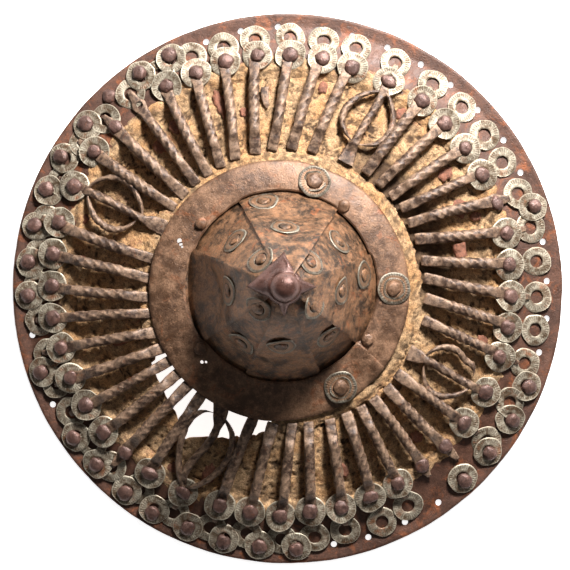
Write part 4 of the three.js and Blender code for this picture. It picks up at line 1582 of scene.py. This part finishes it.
# ------------------------------------------------------------------ back of the shield
class BUCKLER_OT_grip(bpy.types.Operator):
    """Makes the plain iron grip across the back of the hollow"""

    bl_idname = "buckler.grip"
    bl_label = "Hand grip"

    def execute(self, context):
        half = BOARD_INNER_RADIUS + 21
        top = dome(half + 6) - 2 * GAP - BOARD_THICKNESS
        bm = bmesh.new()
        made = rod(bm, 24, 60)
        rows = [
            (0, 18, 2.6, top - 1.5), (0.2, 20, 2.8, top - 1.5), (0.28, 17, 9, top - 3.5),
            (0.5, 19, 10.6, top - 3.5), (0.72, 17, 9, top - 3.5), (0.8, 20, 2.8, top - 1.5),
            (1, 18, 2.6, top - 1.5),
        ]
        for vert in made:
            width, height, middle = between(rows, vert.co.z)
            sharpness = lerp(5, 2.6, smooth(0.2, 0.3, vert.co.z) * smooth(0.8, 0.7, vert.co.z))
            side, up = squared(math.atan2(vert.co.y, vert.co.x), width, height, sharpness)
            point = Vector((side, lerp(-half + 0.3, half - 0.3, vert.co.z), middle + up))
            point += Vector((BOSS_CENTRE.x, BOSS_CENTRE.y, 0))
            vert.co = roughen(point, 6, 0.25, 71)
        add_piece("forged_hand_grip", bm, finish("grip"), "grip_iron", "hand_grip", sharp=70)
        return {"FINISHED"}


# ------------------------------------------------------------------ stage
CAMERA_HEIGHT = 2.0
VIEW_WIDTH = 0.3731  # metres across the view at the height of the rim
CAMERA_PLACE = (-0.0017, 0.0023)
SENSOR_WIDTH = 36


class BUCKLER_OT_stage(bpy.types.Operator):
    """Makes the floor, the lights and the camera"""

    bl_idname = "buckler.stage"
    bl_label = "Stage"

    def execute(self, context):
        scene = context.scene
        bm = bmesh.new()
        bmesh.ops.create_grid(bm, x_segments=1, y_segments=1, size=3)
        bmesh.ops.translate(bm, vec=(0, 0, -0.0003), verts=bm.verts)
        mesh = bpy.data.meshes.new("floor")
        bm.to_mesh(mesh)
        bm.free()
        floor = bpy.data.objects.new("floor", mesh)
        mesh.materials.append(finish("floor"))
        scene.collection.objects.link(floor)

        self.light("key", (0.30, 0.74, 0.66), 0.22, 36)
        self.light("fill", (0.9, 0.1, 1.6), 1.4, 2.5)
        world = bpy.data.worlds.new("studio")
        world.use_nodes = True
        world.node_tree.nodes["Background"].inputs["Color"].default_value = (1, 1, 1, 1)
        world.node_tree.nodes["Background"].inputs["Strength"].default_value = 0.07
        scene.world = world

        camera = bpy.data.cameras.new("camera")
        camera.sensor_width = SENSOR_WIDTH
        camera.lens = SENSOR_WIDTH * CAMERA_HEIGHT / VIEW_WIDTH
        camera.clip_end = 20
        holder = bpy.data.objects.new("camera", camera)
        holder.location = (*CAMERA_PLACE, CAMERA_HEIGHT)
        scene.collection.objects.link(holder)
        scene.camera = holder
        scene.view_settings.view_transform = "Standard"
        return {"FINISHED"}

    def light(self, name, place, size, watts):
        """A soft square light that faces the shield."""
        data = bpy.data.lights.new(name, "AREA")
        data.size = size
        data.energy = watts
        lamp = bpy.data.objects.new(name, data)
        lamp.location = place
        aim = Vector((0, 0, 0.03)) - Vector(place)
        lamp.rotation_euler = aim.to_track_quat("-Z", "Y").to_euler()
        bpy.context.scene.collection.objects.link(lamp)


class VIEW3D_PT_buckler(bpy.types.Panel):
    """Lists the buckler's pieces, sizes and colours"""

    bl_label = "Buckler"
    bl_space_type = "VIEW_3D"
    bl_region_type = "UI"
    bl_category = "Buckler"

    def draw(self, context):
        for operator in OPERATORS:
            self.layout.operator(operator.bl_idname)
        for group in (context.scene.buckler_sizes, context.scene.buckler_colours):
            for key in type(group).__annotations__:
                self.layout.prop(group, key)


OPERATORS = (
    BUCKLER_OT_stage, BUCKLER_OT_rim, BUCKLER_OT_washers, BUCKLER_OT_rivets, BUCKLER_OT_board,
    BUCKLER_OT_crust, BUCKLER_OT_dust, BUCKLER_OT_leather, BUCKLER_OT_bars,
    BUCKLER_OT_knot_bars, BUCKLER_OT_tongue, BUCKLER_OT_plate, BUCKLER_OT_boss,
    BUCKLER_OT_boss_washers, BUCKLER_OT_cap, BUCKLER_OT_grip,
)
CLASSES = (BucklerSizes, BucklerColours, *OPERATORS, VIEW3D_PT_buckler)


def register():
    """Makes the pieces and their settings known to Blender."""
    for cls in CLASSES:
        bpy.utils.register_class(cls)
    bpy.types.Scene.buckler_sizes = bpy.props.PointerProperty(type=BucklerSizes)
    bpy.types.Scene.buckler_colours = bpy.props.PointerProperty(type=BucklerColours)


def unregister():
    """Takes the pieces and their settings away again."""
    del bpy.types.Scene.buckler_sizes
    del bpy.types.Scene.buckler_colours
    for cls in reversed(CLASSES):
        bpy.utils.unregister_class(cls)


def main():
    """Makes every piece in order."""
    register()
    for operator in OPERATORS:
        group, name = operator.bl_idname.split(".")
        getattr(getattr(bpy.ops, group), name)()


if __name__ == "__main__":
    main()
